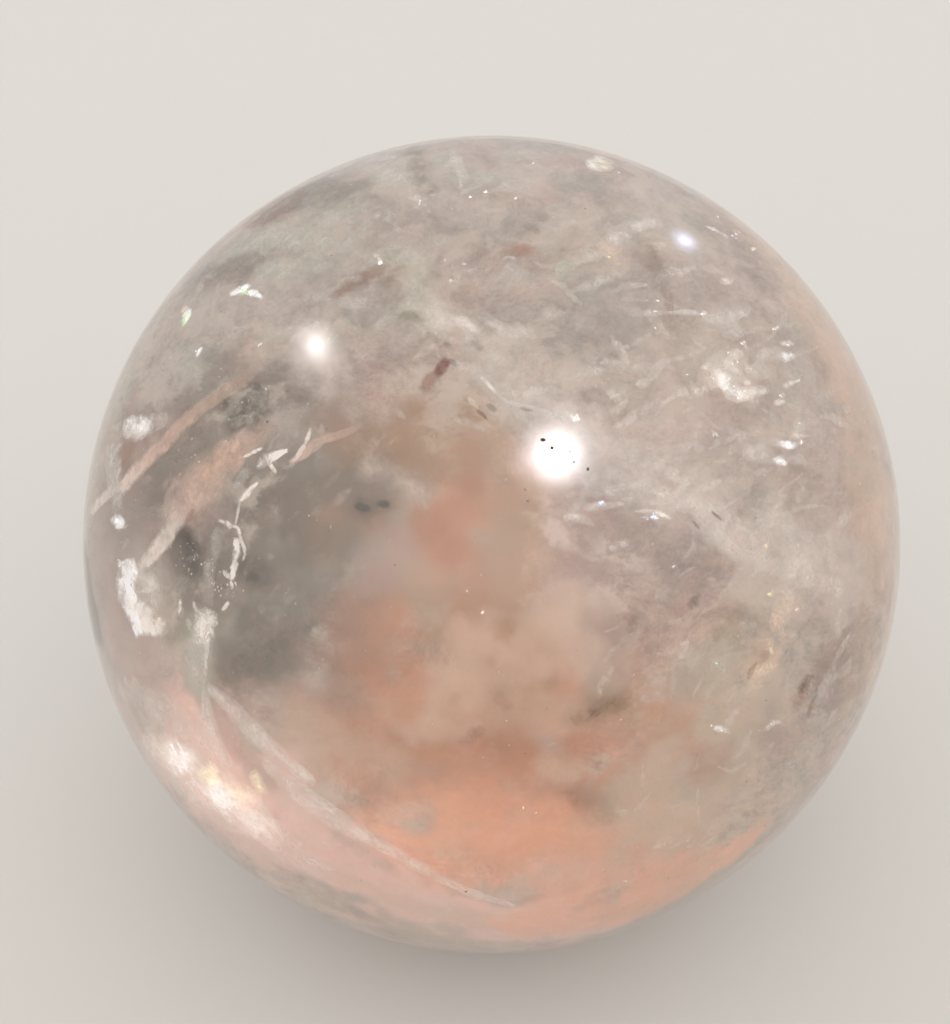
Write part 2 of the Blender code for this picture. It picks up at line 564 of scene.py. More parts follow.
# The milk: three closed shells, one inside the other. The skin lies just under the surface and has the fine
# wisps; the shells below it give depth. Each has its share of the stone's radius, the height of its lumps in
# mm, how much it covers (0: by how dark it is) and its strokes
milk = {
    "milkSkin": {
        "share": 0.935, "lump": 0.0, "seed": 1, "cover": 0.0,
        "plain": ("milk", "pinkGrey", "greyGreen"),
        "strokes": skinStrokes,
    },
    "milkMiddle": {
        "share": 0.80, "lump": 3.0, "seed": 2, "cover": 0.42,
        "plain": ("pale", "mauve", "greyGreen"),
        "strokes": [
            # painted shade: the dark seen through the left windows, kept dark in depth
            ("smoke", [(300, 390), (240, 420), (170, 490), (190, 600), (262, 640)], 32, 0.45),
            ("oliveDark", [(270, 500), (390, 480)], 45, 0.5),
            ("warm", [(450, 520), (500, 640), (480, 780)], 120, 0.8),
            ("white", [(398, 262), (440, 326), (585, 425), (665, 500), (850, 590)], 30, 0.9),
            ("lavender", [(180, 740), (320, 860), (520, 930)], 60, 0.8),
        ],
    },
    "milkCore": {
        "share": 0.67, "lump": 3.5, "seed": 3, "cover": 0.5,
        "plain": ("milk", "mauve", "greyDark"),
        "strokes": [
            # painted shade: the dark seen through the left windows, kept dark in depth
            ("smoke", [(300, 390), (240, 420), (170, 490), (190, 600), (262, 640)], 32, 0.45),
            ("warm", [(450, 520), (500, 640), (480, 780)], 140, 0.9),
        ],
    },
}

# How the shells are built and toned
toning = {
    "subdivisions": 7,
    "lumpSize": 35.0,  # all sizes in mm
    "warp": [(9, 3, 9, 1.0), (3, 2, 6, 0.45)],  # size, octaves, shift of the seed, how much it counts
    "warpReach": 0.9,  # how far the warp eats into a stroke's edge
    "strokeEdge": 1.5,  # how many half widths a stroke reaches before it has faded out
    "hue": (17, 3, 4),  # size, octaves, shift of the seed
    "hueContrast": 2.6,
    "hueStrength": 0.7,
    "sideBlend": 4,  # how sharply the photographed side gives way to the hidden one
    "seedShift": (7.3, 3.1, 5.7),  # how far one more in a seed moves a pattern, in the pattern's sizes
    "cover": (0.25, 0.4, 0.02),  # a, b and c in a / (b * lightness + a) + c
    "coverRange": (0.55, 0.92),
    "glow": 0.27,
}

# The skin's own pattern
wisps = {
    "warpSize": 16.0,  # all sizes in mm
    "warpReach": 7.0,
    "depthStretch": 0.72,  # how much the pattern is drawn out along the photographed line of sight
    "stretchedFrom": 0.35,  # as a share of the radius towards the camera: none of it is drawn out behind that
    "stretch": (0.85, 1.0, 1.0),  # and drawn out sideways
    "veils": [(18.0, 3.5, 0.09), (8.0, 3.0, 0.07)],  # size, how often a veil folds over, contrast
    "crest": 0.8,  # where in a fold it ends
    "hueSize": 7.0,
    "hueRange": (0.35, 0.65),
    "pinkCast": (1.05, 0.98, 0.975),
    "greenCast": (0.965, 1.012, 1.0),
    "cloudSize": 5.0,
    "cloudContrast": 0.6,
    "cloudDark": 0.3,  # how deep the dark parts are beside the pale ones
    "cloudRange": (0.36, 0.75),
    "puffSize": 8.0,
    "puffRange": (0.5, 0.6),
    "puffTint": "puff",
    "puffStrength": 0.6,
    # where it shows less: how much is left, a path of pixels, its half width in pixels
    "calm": [
        (0.1, [(340, 510), (390, 520), (470, 540), (500, 680)], 105),
        (0.2, [(380, 700), (500, 800), (620, 800), (700, 780)], 110),
        (0.2, [(250, 640)], 75),
        (0.2, [(110, 560), (130, 680), (200, 760), (330, 870), (520, 930), (700, 890)], 75),
        (0.4, [(860, 330), (880, 540)], 26),
    ],
}

# The sides that the photograph doesn't show repeat the strokes and sheets of the photographed side, mirrored
# and turned round the stone by this many degrees
hiddenTurn = 155.0
hiddenStrength = 0.65
usualDepth = 0.02  # of a sheet
sight = (cameraPlace.translation - centre).normalized()


# Where each point of the hidden side is on the photographed side
def photographedPlaces(points):
    turn = math.radians(-hiddenTurn)
    x = points[:, 0] * math.cos(turn) - points[:, 1] * math.sin(turn)
    y = points[:, 0] * math.sin(turn) + points[:, 1] * math.cos(turn)
    return np.stack([-x, y, points[:, 2]], axis=1)


# Whether a path of pixels, turned round the stone, lies where the photograph doesn't show it
def isHidden(path, round_):
    return max(sight.dot(round_ @ (insideStone(*point, usualDepth) - centre)) for point in path) < 0


def hiddenCopies(sheets):
    round_ = Matrix.Rotation(math.radians(hiddenTurn), 3, "Z")
    copies = []
    for tint, path, widths, depth, dense in sheets:
        mirrored = [(2 * photo["ballX"] - x, y) for x, y in path]
        if isHidden(mirrored, round_):
            copies.append((tint, mirrored, widths, depth, dense, hiddenTurn))
    return copies


def lumpyShellTree():
    tree, given, result = newShapeTree("milk shell", [
        ("Radius", "NodeSocketFloat", stoneRadius),
        ("Lump", "NodeSocketFloat", 2 * mm),
        ("Seed", "NodeSocketFloat", 0.0),
        ("Material", "NodeSocketMaterial", None),
    ])
    ball = addNode(tree, "GeometryNodeMeshIcoSphere", {
        "Radius": given["Radius"],
        "Subdivisions": toning["subdivisions"],
    })
    place = addNode(tree, "GeometryNodeInputPosition")
    lumps = addNode(tree, "ShaderNodeTexNoise", {
        "Vector": place,
        "W": given["Seed"],
        "Scale": 1 / (toning["lumpSize"] * mm),
        "Detail": 1.0,
    }, noise_dimensions="4D")
    spread = addNode(tree, "ShaderNodeMath", {0: lumps, 1: 0.5}, operation="SUBTRACT")
    height = addNode(tree, "ShaderNodeMath", {0: spread, 1: given["Lump"]}, operation="MULTIPLY")
    outward = addNode(tree, "ShaderNodeVectorMath", {0: place}, operation="NORMALIZE")
    move = addNode(tree, "ShaderNodeVectorMath", {0: outward, "Scale": height}, operation="SCALE")
    lifted = addNode(tree, "ShaderNodeVectorMath", {0: move, 1: tuple(centre)}, operation="ADD")
    lumpy = addNode(tree, "GeometryNodeSetPosition", {"Geometry": ball, "Offset": lifted})
    return finishTree(tree, lumpy, given, result)


def smooth(share):
    share = np.clip(share, 0, 1)
    return share * share * (3 - 2 * share)


def cloudNoise(points, size, octaves, seed):
    shift = Vector([seed * part for part in toning["seedShift"]])
    values = [noise.fractal(Vector(point) / (size * mm) + shift, 1.0, 2.0, octaves) for point in points]
    return np.array(values)


# How far each point belongs to a stroke: 1 near its path and 0 far from it, with an uneven edge
def strokeWeight(points, share, pixels, width, warp):
    path = [onShell(x, y, share) for x, y in pixels]
    x, y = pixels[len(pixels) // 2]
    reach = (onShell(x + width, y, share) - onShell(x - width, y, share)).length / 2
    nearest = np.full(len(points), 1e9)
    starts = path if len(path) == 1 else path[:-1]
    ends = path if len(path) == 1 else path[1:]
    for start, end in zip(starts, ends):
        run = np.array(end - start)
        length = max(float(run @ run), 1e-12)
        along = np.clip((points - np.array(start)) @ run / length, 0, 1)
        gap = np.linalg.norm(points - np.array(start) - along[:, None] * run, axis=1)
        nearest = np.minimum(nearest, gap)
    return smooth(toning["strokeEdge"] - nearest / reach - warp * toning["warpReach"])


def paintShell(mesh, look):
    seed = look["seed"]
    points = np.empty(len(mesh.vertices) * 3)
    mesh.vertices.foreach_get("co", points)
    points = points.reshape(-1, 3)
    warp = sum(
        cloudNoise(points, size, octaves, seed + shift) * amount
        for size, octaves, shift, amount in toning["warp"]
    )
    size, octaves, shift = toning["hue"]
    hue = cloudNoise(points, size, octaves, seed + shift) * toning["hueContrast"]
    plain = np.array([linearColour(tints[name])[:3] for name in look["plain"]])
    toSecond = smooth(hue)[:, None] * toning["hueStrength"]
    toThird = smooth(-hue)[:, None] * toning["hueStrength"]
    colour = plain[0] * (1 - toSecond - toThird) + plain[1] * toSecond + plain[2] * toThird
    places = photographedPlaces(points)
    facing = (points - np.array(centre)) @ np.array(sight) / (stoneRadius * look["share"])
    hidden = smooth(-facing * toning["sideBlend"])

    def bothSides(pixels, width):
        shown = strokeWeight(points, look["share"], pixels, width, warp)
        turned = strokeWeight(places, look["share"], pixels, width, warp)
        return shown * (1 - hidden) + turned * hidden * hiddenStrength

    for tint, pixels, width, strength in look["strokes"]:
        weight = bothSides(pixels, width)[:, None] * strength
        colour = colour * (1 - weight) + np.array(linearColour(tints[tint])[:3]) * weight
    cover = np.full(len(points), look["cover"])
    if not look["cover"]:  # dark milk covers more than pale milk
        a, b, c = toning["cover"]
        cover = np.clip(a / (b * colour.mean(axis=1) + a) + c, *toning["coverRange"])
    storeOnPoints(mesh, "milk", np.hstack([colour, cover[:, None]]))
    lively = np.ones(len(points))
    for amount, pixels, width in wisps["calm"]:
        lively = np.minimum(lively, 1 - bothSides(pixels, width) * (1 - amount))
    storeOnPoints(mesh, "lively", lively)


# Light that comes round through the milk from all sides, which the few bounces of a render would lose
def addGlow(material, shader, colour, strength):
    tree = material.node_tree
    tree.links.new(colour, shader.inputs["Emission Color"])
    shader.inputs["Emission Strength"].default_value = strength
    material.cycles.emission_sampling = "NONE"


# Milk in quartz: bubbles far finer than the eye sees, which scatter light as a soft white cloud
def milkMaterial(name, look):
    material, tree, shader, output = newMaterial(name, {"Roughness": 1.0, "Specular IOR Level": 0.0})
    painted = addNode(tree, "ShaderNodeAttribute", attribute_name="milk", attribute_type="GEOMETRY")
    colour = painted.outputs["Color"]
    if not look["cover"]:
        colour = wispyColour(tree, colour)
    tree.links.new(colour, shader.inputs["Base Color"])
    tree.links.new(painted.outputs["Alpha"], shader.inputs["Alpha"])
    addGlow(material, shader, colour, toning["glow"])
    return material


# One layer of veils: each rises slowly from dim to bright, and then ends at a crisp edge over the next one
def foldedVeils(tree, vector, size, folds, contrast):
    cloud = addNode(tree, "ShaderNodeTexNoise", {
        "Vector": vector,
        "Scale": 1 / (size * mm),
        "Detail": 3.0,
        "Roughness": 0.55,
    })
    many = addNode(tree, "ShaderNodeMath", {0: cloud.outputs["Fac"], 1: folds}, operation="MULTIPLY")
    fold = addNode(tree, "ShaderNodeMath", {0: many}, operation="FRACT")
    rise = addNode(tree, "ShaderNodeMapRange", {
        "Value": fold,
        "From Max": wisps["crest"],
        "To Min": -contrast,
        "To Max": contrast,
    })
    fall = addNode(tree, "ShaderNodeMapRange", {
        "Value": fold,
        "From Min": wisps["crest"],
        "To Max": -2 * contrast,
    }, interpolation_type="SMOOTHSTEP")
    return addNode(tree, "ShaderNodeMath", {0: rise, 1: fall}, operation="ADD")


# Breaks a milk's tone into clouds, folded veils, pinkish and greenish patches and soft pale puffs, all drawn
# out along the photographed line of sight
def wispyColour(tree, colour):
    lively = addNode(tree, "ShaderNodeAttribute", attribute_name="lively", attribute_type="GEOMETRY")
    place = addNode(tree, "ShaderNodeTexCoord")
    depth = addNode(tree, "ShaderNodeVectorMath", {
        0: place.outputs["Object"],
        1: sight,
    }, operation="DOT_PRODUCT")
    front = addNode(tree, "ShaderNodeMath", {
        0: depth.outputs["Value"],
        1: centre.dot(sight) + wisps["stretchedFrom"] * stoneRadius,
    }, operation="MAXIMUM")
    less = addNode(tree, "ShaderNodeMath", {0: front, 1: -wisps["depthStretch"]}, operation="MULTIPLY")
    nearer = addNode(tree, "ShaderNodeVectorMath", {0: sight, "Scale": less}, operation="SCALE")
    deeper = addNode(tree, "ShaderNodeVectorMath", {0: place.outputs["Object"], 1: nearer}, operation="ADD")
    drawn = addNode(tree, "ShaderNodeVectorMath", {0: deeper, 1: wisps["stretch"]}, operation="MULTIPLY")
    warp = addNode(tree, "ShaderNodeTexNoise", {
        "Vector": drawn,
        "Scale": 1 / (wisps["warpSize"] * mm),
        "Detail": 2.0,
    })
    shift = addNode(tree, "ShaderNodeVectorMath", {
        0: warp.outputs["Color"],
        1: (0.5, 0.5, 0.5),
    }, operation="SUBTRACT")
    reach = addNode(tree, "ShaderNodeVectorMath", {
        0: shift,
        "Scale": wisps["warpReach"] * mm,
    }, operation="SCALE")
    warped = addNode(tree, "ShaderNodeVectorMath", {0: drawn, 1: reach}, operation="ADD")
    clouds = addNode(tree, "ShaderNodeTexNoise", {
        "Vector": warped,
        "Scale": 1 / (wisps["cloudSize"] * mm),
        "Detail": 6.0,
        "Roughness": 0.88,
    })
    light = addNode(tree, "ShaderNodeMapRange", {
        "Value": clouds.outputs["Fac"],
        "From Min": wisps["cloudRange"][0],
        "From Max": wisps["cloudRange"][1],
        "To Min": -wisps["cloudDark"] * wisps["cloudContrast"],
        "To Max": wisps["cloudContrast"],
    })
    for layer in wisps["veils"]:
        veil = foldedVeils(tree, warped, *layer)
        light = addNode(tree, "ShaderNodeMath", {0: light, 1: veil}, operation="ADD")
    factor = addNode(tree, "ShaderNodeMath", {
        0: light,
        1: lively.outputs["Fac"],
        2: 1.0,
    }, operation="MULTIPLY_ADD")
    toned = addNode(tree, "ShaderNodeVectorMath", {0: colour, "Scale": factor}, operation="SCALE")
    hue = addNode(tree, "ShaderNodeTexNoise", {
        "Vector": warped,
        "Scale": 1 / (wisps["hueSize"] * mm),
        "Detail": 4.0,
        "Roughness": 0.6,
        "W": 3.0,
    }, noise_dimensions="4D")
    side = addNode(tree, "ShaderNodeMapRange", {
        "Value": hue.outputs["Fac"],
        "From Min": wisps["hueRange"][0],
        "From Max": wisps["hueRange"][1],
    })
    cast = addNode(tree, "ShaderNodeMix", {
        0: side,
        4: wisps["pinkCast"],
        5: wisps["greenCast"],
    }, data_type="VECTOR")
    tinged = addNode(tree, "ShaderNodeVectorMath", {0: toned, 1: cast.outputs[1]}, operation="MULTIPLY")
    puffs = addNode(tree, "ShaderNodeTexNoise", {
        "Vector": warped,
        "Scale": 1 / (wisps["puffSize"] * mm),
        "Detail": 7.0,
        "Roughness": 0.66,
        "W": 7.0,
    }, noise_dimensions="4D")
    puff = addNode(tree, "ShaderNodeMapRange", {
        "Value": puffs.outputs["Fac"],
        "From Min": wisps["puffRange"][0],
        "From Max": wisps["puffRange"][1],
        "To Max": wisps["puffStrength"],
    }, interpolation_type="SMOOTHSTEP")
    weight = addNode(tree, "ShaderNodeMath", {0: puff, 1: lively.outputs["Fac"]}, operation="MULTIPLY")
    mixed = addNode(tree, "ShaderNodeMix", {
        0: weight,
        6: tinged,
        7: linearColour(tints[wisps["puffTint"]]),
    }, data_type="RGBA")
    return mixed.outputs[2]


def insideTheStone(piece):
    piece.visible_shadow = False  # the polished surface already stops straight light, so this only saves time
    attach(piece, "root")


def makeMilk():
    tree = lumpyShellTree()
    for name, look in milk.items():
        piece = shapeFromTree(name, tree, {
            "Radius": stoneRadius * look["share"],
            "Lump": look["lump"] * mm,
            "Seed": float(look["seed"]),
            "Material": milkMaterial(name, look),
        })
        paintShell(piece.data, look)
        piece.data.shade_smooth()
        insideTheStone(piece)


makeMilk()
print("milk made")

# How a sheet is built
sheetGrid = {
    "across": 6,  # faces across it
    "leastSteps": 6,
    "step": 4,  # pixels along it
    "taper": 1.5,  # how many half widths its ends take to thin out
    "waveSize": 30,  # pixels
    "waveShift": 40,  # how far apart in the waves' noise two sheets lie, in pixels
    "waveHeight": 0.002,  # as a share of the way through the stone, like a sheet's depth
    "depths": (0.012, 0.027),
    "thicknessRange": (0.3, 0.65),
    "leaf": (0.4, 1, 1, 0.3),  # how wide a strewn sheet is along its path, in half widths
    "legs": 3,  # of a strewn sheet's path
    "bend": 0.25,  # how much it turns at each of them, in radians
}


# A smooth line through a path's points
def smoothPath(path, steps):
    points = np.array(path, float)
    if len(points) < 3:
        wanted = np.linspace(0, 1, steps)
        return np.stack([np.interp(wanted, (0, 1), points[:, axis]) for axis in (0, 1)], axis=1)
    padded = np.vstack([2 * points[0] - points[1], points, 2 * points[-1] - points[-2]])
    line = []
    for place in np.linspace(0, len(points) - 1, steps):
        leg = min(int(place), len(points) - 2)
        t = place - leg
        before, start, end, after = padded[leg:leg + 4]
        line.append(0.5 * (
            2 * start + (end - before) * t
            + (2 * before - 5 * start + 4 * end - after) * t**2
            + (3 * start - before - 3 * end + after) * t**3
        ))
    return np.array(line)


# Sheets that lie inside the stone along paths of pixels, all in one mesh. Each sheet is a tint or several
# along it, its path, its half widths in pixels, its depth, how dense it is (a number or several along it),
# and how far round the stone it is turned
def sheetMesh(name, sheets, material):
    across = sheetGrid["across"]
    shallowest, deepest = sheetGrid["depths"]
    points, faces, edges, colours = [], [], [], []
    for number, (tint, path, widths, depth, dense, *turn) in enumerate(sheets):
        along = np.array([linearColour(tints[part])[:3] for part in tint.split()])
        denses = np.atleast_1d(dense)
        length = sum(math.dist(a, b) for a, b in zip(path, path[1:]))
        steps = max(sheetGrid["leastSteps"], int(length / sheetGrid["step"]) + 1)
        line = smoothPath(path, steps)
        runs = np.gradient(line, axis=0)
        round_ = Matrix.Rotation(math.radians(turn[0] if turn else 0), 3, "Z")
        first = len(points)
        for step in range(steps):
            share = step / (steps - 1)
            run = runs[step] / max(np.linalg.norm(runs[step]), 1e-9)
            width = np.interp(share, np.linspace(0, 1, len(widths)), widths)
            colour = [np.interp(share, np.linspace(0, 1, len(along)), channel) for channel in along.T]
            taper = min(1, min(share, 1 - share) * length / max(width * sheetGrid["taper"], 1))
            for column in range(across + 1):
                side = column / across * 2 - 1
                x = line[step][0] - run[1] * width * side
                y = line[step][1] + run[0] * width * side
                wave = noise.noise(Vector((x, y, number * sheetGrid["waveShift"])) / sheetGrid["waveSize"])
                waved = depth + wave * sheetGrid["waveHeight"]
                inside = insideStone(x, y, min(max(waved, shallowest), deepest))
                points.append(centre + round_ @ (inside - centre))
                edges.append((1 - side**2) * math.sqrt(taper))
                colours.append((*colour, np.interp(share, np.linspace(0, 1, len(denses)), denses)))
        start, aside, ahead = points[first], points[first + across], points[first + across + 1]
        outwards = (aside - start).cross(ahead - start).dot(start - centre) > 0
        for step in range(steps - 1):
            for column in range(across):
                corner = first + step * (across + 1) + column
                face = (corner, corner + 1, corner + across + 2, corner + across + 1)
                faces.append(face if outwards else face[::-1])
    mesh = bpy.data.meshes.new(name)
    mesh.from_pydata(points, [], faces)
    storeOnPoints(mesh, "tone", colours)
    storeOnPoints(mesh, "edge", edges)
    mesh.materials.append(material)
    mesh.shade_smooth()
    # bubbles scatter light like the milk round them, whichever way their sheet leans
    mesh.normals_split_custom_set_from_vertices([(point - centre).normalized() for point in points])
    piece = placeObject(name, mesh)
    insideTheStone(piece)
    return piece


# The ragged outline and the holes of a sheet: a noise eats into it, most of all from its edges, and it parts
# along angular shards. A finer noise makes it thick and pale in some places, thin and grey in others
def raggedSheet(name, look):
    material, tree, shader, output = newMaterial(name, {"Roughness": 0.8, "Specular IOR Level": 0.0})
    tone = addNode(tree, "ShaderNodeAttribute", attribute_name="tone", attribute_type="GEOMETRY")
    edge = addNode(tree, "ShaderNodeAttribute", attribute_name="edge", attribute_type="GEOMETRY")
    place = addNode(tree, "ShaderNodeTexCoord")
    rag = addNode(tree, "ShaderNodeTexNoise", {
        "Vector": place.outputs["Object"],
        "Scale": 1 / (look["ragSize"] * mm),
        "Detail": 4.0,
        "Roughness": 0.68,
        "Distortion": 0.4,
    })
    shards = addNode(tree, "ShaderNodeTexVoronoi", {
        "Vector": place.outputs["Object"],
        "Scale": 1 / (look["shardSize"] * mm),
    })
    broken = addNode(tree, "ShaderNodeMapRange", {
        "Value": shards.outputs["Color"],
        "To Min": -look["shatter"],
        "To Max": look["shatter"],
    })
    both = addNode(tree, "ShaderNodeMath", {0: rag.outputs["Fac"], 1: broken}, operation="ADD")
    eaten = addNode(tree, "ShaderNodeMath", {
        0: both,
        1: look["rag"],
        2: edge.outputs["Fac"],
    }, operation="MULTIPLY_ADD")
    least = look["rag"] * 0.5 + look["keep"]
    whole = addNode(tree, "ShaderNodeMapRange", {
        "Value": eaten,
        "From Min": least,
        "From Max": least + look["soft"],
    }, interpolation_type="SMOOTHSTEP")
    grain = addNode(tree, "ShaderNodeTexNoise", {
        "Vector": place.outputs["Object"],
        "Scale": 1 / (look["grainSize"] * mm),
        "Detail": 3.0,
        "Roughness": 0.6,
        "W": 5.0,
    }, noise_dimensions="4D")
    uneven = addNode(tree, "ShaderNodeMath", {0: grain.outputs["Fac"], 1: broken}, operation="ADD")
    thick = addNode(tree, "ShaderNodeMapRange", {
        "Value": uneven,
        "From Min": sheetGrid["thicknessRange"][0],
        "From Max": sheetGrid["thicknessRange"][1],
        "To Min": look["thin"],
        "To Max": 1.0,
    })
    dense = addNode(tree, "ShaderNodeMath", {0: thick, 1: tone.outputs["Alpha"]}, operation="MULTIPLY")
    alpha = addNode(tree, "ShaderNodeMath", {0: whole, 1: dense}, operation="MULTIPLY")
    tree.links.new(tone.outputs["Color"], shader.inputs["Base Color"])
    tree.links.new(alpha.outputs[0], shader.inputs["Alpha"])
    addGlow(material, shader, tone.outputs["Color"], look["glow"])
    return material


# Healed cracks: curved sheets of tiny bubbles, seen as lacy white bands
veils = {
    "look": {
        "ragSize": 3.4, "rag": 4.0, "keep": -0.2, "soft": 1.8, "shardSize": 2.6, "shatter": 0.06,
        "grainSize": 1.6, "thin": 0.45, "glow": 0.16,
    },
    "sheets": [
        ("snow", [
            (392, 258), (404, 284), (422, 306), (442, 323), (474, 334),
        ], [8, 15, 22, 24, 11], 0.022, 0.6),
        ("snow", [(428, 300), (440, 318), (456, 332)], [10, 15, 9], 0.02, 0.45),
        ("snow", [(374, 327), (386, 322), (398, 318), (408, 326)], [6, 12, 10, 5], 0.021, 0.5),
        ("snow", [(448, 318), (464, 324), (480, 333)], [4, 8, 4], 0.020, 0.6),
        ("snow", [(478, 342), (492, 352), (504, 362)], [6, 9, 5], 0.022, 0.35),
        ("ash", [
            (468, 364), (484, 380), (500, 396), (522, 406), (546, 411), (568, 416),
        ], [5, 8, 8, 8, 7, 6], 0.022, 0.5),
        ("snow", [(552, 410), (566, 412), (580, 418)], [7, 11, 7], 0.022, 0.6),
        ("snow", [(600, 470), (640, 484), (684, 500)], [6, 11, 8], 0.022, 0.4),
        ("snow", [(680, 500), (740, 535), (790, 556), (850, 585)], [14, 26, 28, 16], 0.022, 0.5),
        ("snow", [(700, 520), (760, 560), (820, 580)], [16, 22, 14], 0.017, 0.35),
        ("snow", [(602, 246), (615, 236), (632, 229), (660, 221)], [7, 11, 11, 6], 0.020, 0.9),
        ("snow", [(650, 490), (659, 494), (672, 499)], [3, 5, 3], 0.018, 0.6),
        ("snow", [(837, 529), (845, 518), (849, 505)], [4, 6, 4], 0.018, 0.5),
        ("snow", [(838, 412), (845, 409), (851, 413)], [3, 6, 3], 0.02, 0.4),
        ("ash", [(598, 470), (584, 496), (560, 528)], [4, 6, 4], 0.021, 0.35),
        ("snow", [(146, 742), (158, 748), (170, 752)], [6, 10, 6], 0.020, 0.6),
        ("snow", [(188, 762), (200, 772), (214, 780)], [6, 10, 6], 0.020, 0.55),
        ("snow", [(230, 808), (248, 818), (270, 830)], [6, 12, 8], 0.020, 0.8),
        ("snow", [(262, 812), (272, 826), (280, 842)], [6, 10, 6], 0.020, 0.7),
        ("lavenderWhite", [(120, 680), (180, 740), (240, 800), (330, 880)], [12, 24, 24, 12], 0.0235, 0.4),
        ("snow", [(116, 436), (128, 430), (142, 426), (168, 418)], [9, 14, 13, 6], 0.019, 0.9),
        ("ash", [(117, 436), (114, 455), (115, 480), (117, 514)], [7, 10, 8, 7], 0.020, 0.95),
        ("ash", [(236, 492), (242, 478), (250, 466)], [5, 6, 4], 0.0235, 0.4),
        ("ash", [(224, 526), (213, 548), (209, 575), (207, 606)], [7, 8, 7, 6], 0.021, 0.6),
    ],
}

# Bright streaks where a crack is seen on edge
streaks = {
    "look": {
        "ragSize": 1.8, "rag": 2.8, "keep": 0.0, "soft": 1.5, "shardSize": 1.6, "shatter": 0.08,
        "grainSize": 1.2, "thin": 0.55, "glow": 0.3,
    },
    "sheets": [
        ("snow", [(452, 318), (466, 324), (480, 332)], [2, 4, 2], 0.016, 0.55),
        ("snow", [(478, 375), (488, 384), (498, 395)], [1.5, 3.5, 1.5], 0.016, 0.85),
        ("ash", [(498, 395), (512, 403), (534, 408), (562, 415)], [1.5, 3, 3, 2], 0.016, 0.5),
        ("snow", [(467, 397), (473, 403), (480, 410)], [2, 4, 1.5], 0.016, 0.65),
        ("snow", [(483, 418), (487, 423), (492, 429)], [1.5, 3, 1.5], 0.016, 0.6),
        ("snow", [(567, 414), (574, 418), (583, 421)], [2, 4, 2], 0.015, 1.0),
        ("spark", [(771, 329), (776, 328), (782, 326)], [1.5, 3, 1.5], 0.016, 1.0),
        ("ash", [(781, 326), (790, 325), (798, 322)], [1.5, 2.5, 1], 0.016, 0.5),
        ("snow", [(743, 339), (746, 345), (748, 351)], [1.5, 3, 1.5], 0.016, 0.9),
        ("snow", [(783, 386), (789, 384), (803, 379)], [2.5, 4.5, 1.5], 0.015, 1.0),
        ("snow", [(777, 397), (782, 396), (787, 394)], [2, 3.5, 2], 0.016, 0.8),
        ("snow", [(795, 443), (800, 442), (807, 440)], [1, 2, 1], 0.015, 0.8),
        ("ash", [(796, 434), (804, 436), (813, 436)], [1.5, 2.5, 1], 0.016, 0.7),
        ("snow", [(711, 429), (715, 433), (719, 437)], [1, 2.5, 1], 0.016, 0.8),
        ("snow", [(704, 226), (716, 230), (730, 238)], [1.5, 2.5, 1.5], 0.016, 0.9),
        ("spark", [(232, 293), (240, 291), (249, 285)], [2, 5, 2], 0.015, 0.9),
        ("leaf", [(238, 296), (243, 293), (248, 292)], [1.5, 3, 1.5], 0.0145, 0.8),
        ("spark", [(251, 297), (255, 293), (259, 290)], [1.5, 3.5, 1.5], 0.015, 0.9),
        ("snow", [(372, 254), (378, 258), (384, 266)], [2, 5, 2], 0.015, 0.8),
        ("snow", [(408, 199), (416, 198), (421, 196)], [2, 5, 2], 0.016, 0.7),
        ("snow", [(429, 197), (434, 194), (438, 188)], [1.5, 4, 1.5], 0.016, 0.6),
        ("snow", [(459, 180), (461, 185), (463, 191)], [1, 2.5, 1], 0.016, 0.7),
        ("spark", [(711, 727), (721, 729), (731, 732)], [2, 5, 2.5], 0.015, 1.0),
        ("snow", [(764, 730), (770, 726), (775, 722), (783, 724)], [2, 4, 5, 2], 0.015, 1.0),
        ("candle", [(767, 595), (770, 594), (774, 591)], [1.5, 3.5, 1.5], 0.015, 0.9),
        ("rose", [(794, 607), (797, 609), (801, 610)], [1.5, 3.5, 1.5], 0.015, 0.95),
        ("rose", [(779, 591), (784, 592), (789, 594)], [1, 2, 1], 0.015, 0.7),
        ("candle", [(770, 646), (771, 651), (773, 656)], [1.5, 3, 1.5], 0.015, 0.8),
        ("rose", [(763, 550), (765, 546), (767, 542)], [1.5, 3, 1.5], 0.015, 0.8),
        ("ash", [(716, 766), (731, 770), (750, 762)], [2, 4, 2], 0.018, 0.5),
        ("ash", [(852, 628), (836, 660), (822, 690), (814, 710)], [2, 4, 5, 2], 0.018, 0.5),
        ("ash", [(838, 708), (832, 716), (826, 730)], [1.5, 3, 1.5], 0.018, 0.6),
        ("ash", [(842, 606), (838, 622), (840, 640)], [3, 5, 3], 0.019, 0.5),
        ("snow", [(634, 512), (648, 511), (661, 514), (674, 521)], [1.5, 3, 3.5, 1.5], 0.0155, 0.95),
        ("ice", [(640, 517), (649, 518), (657, 520)], [1, 2.5, 1], 0.0145, 1.0),
        ("ice", [(594, 505), (601, 504), (607, 504)], [2, 4, 2], 0.016, 0.7),
        ("ash", [(499, 262), (508, 257), (518, 260)], [1, 2.5, 1], 0.016, 0.7),
    ],
}

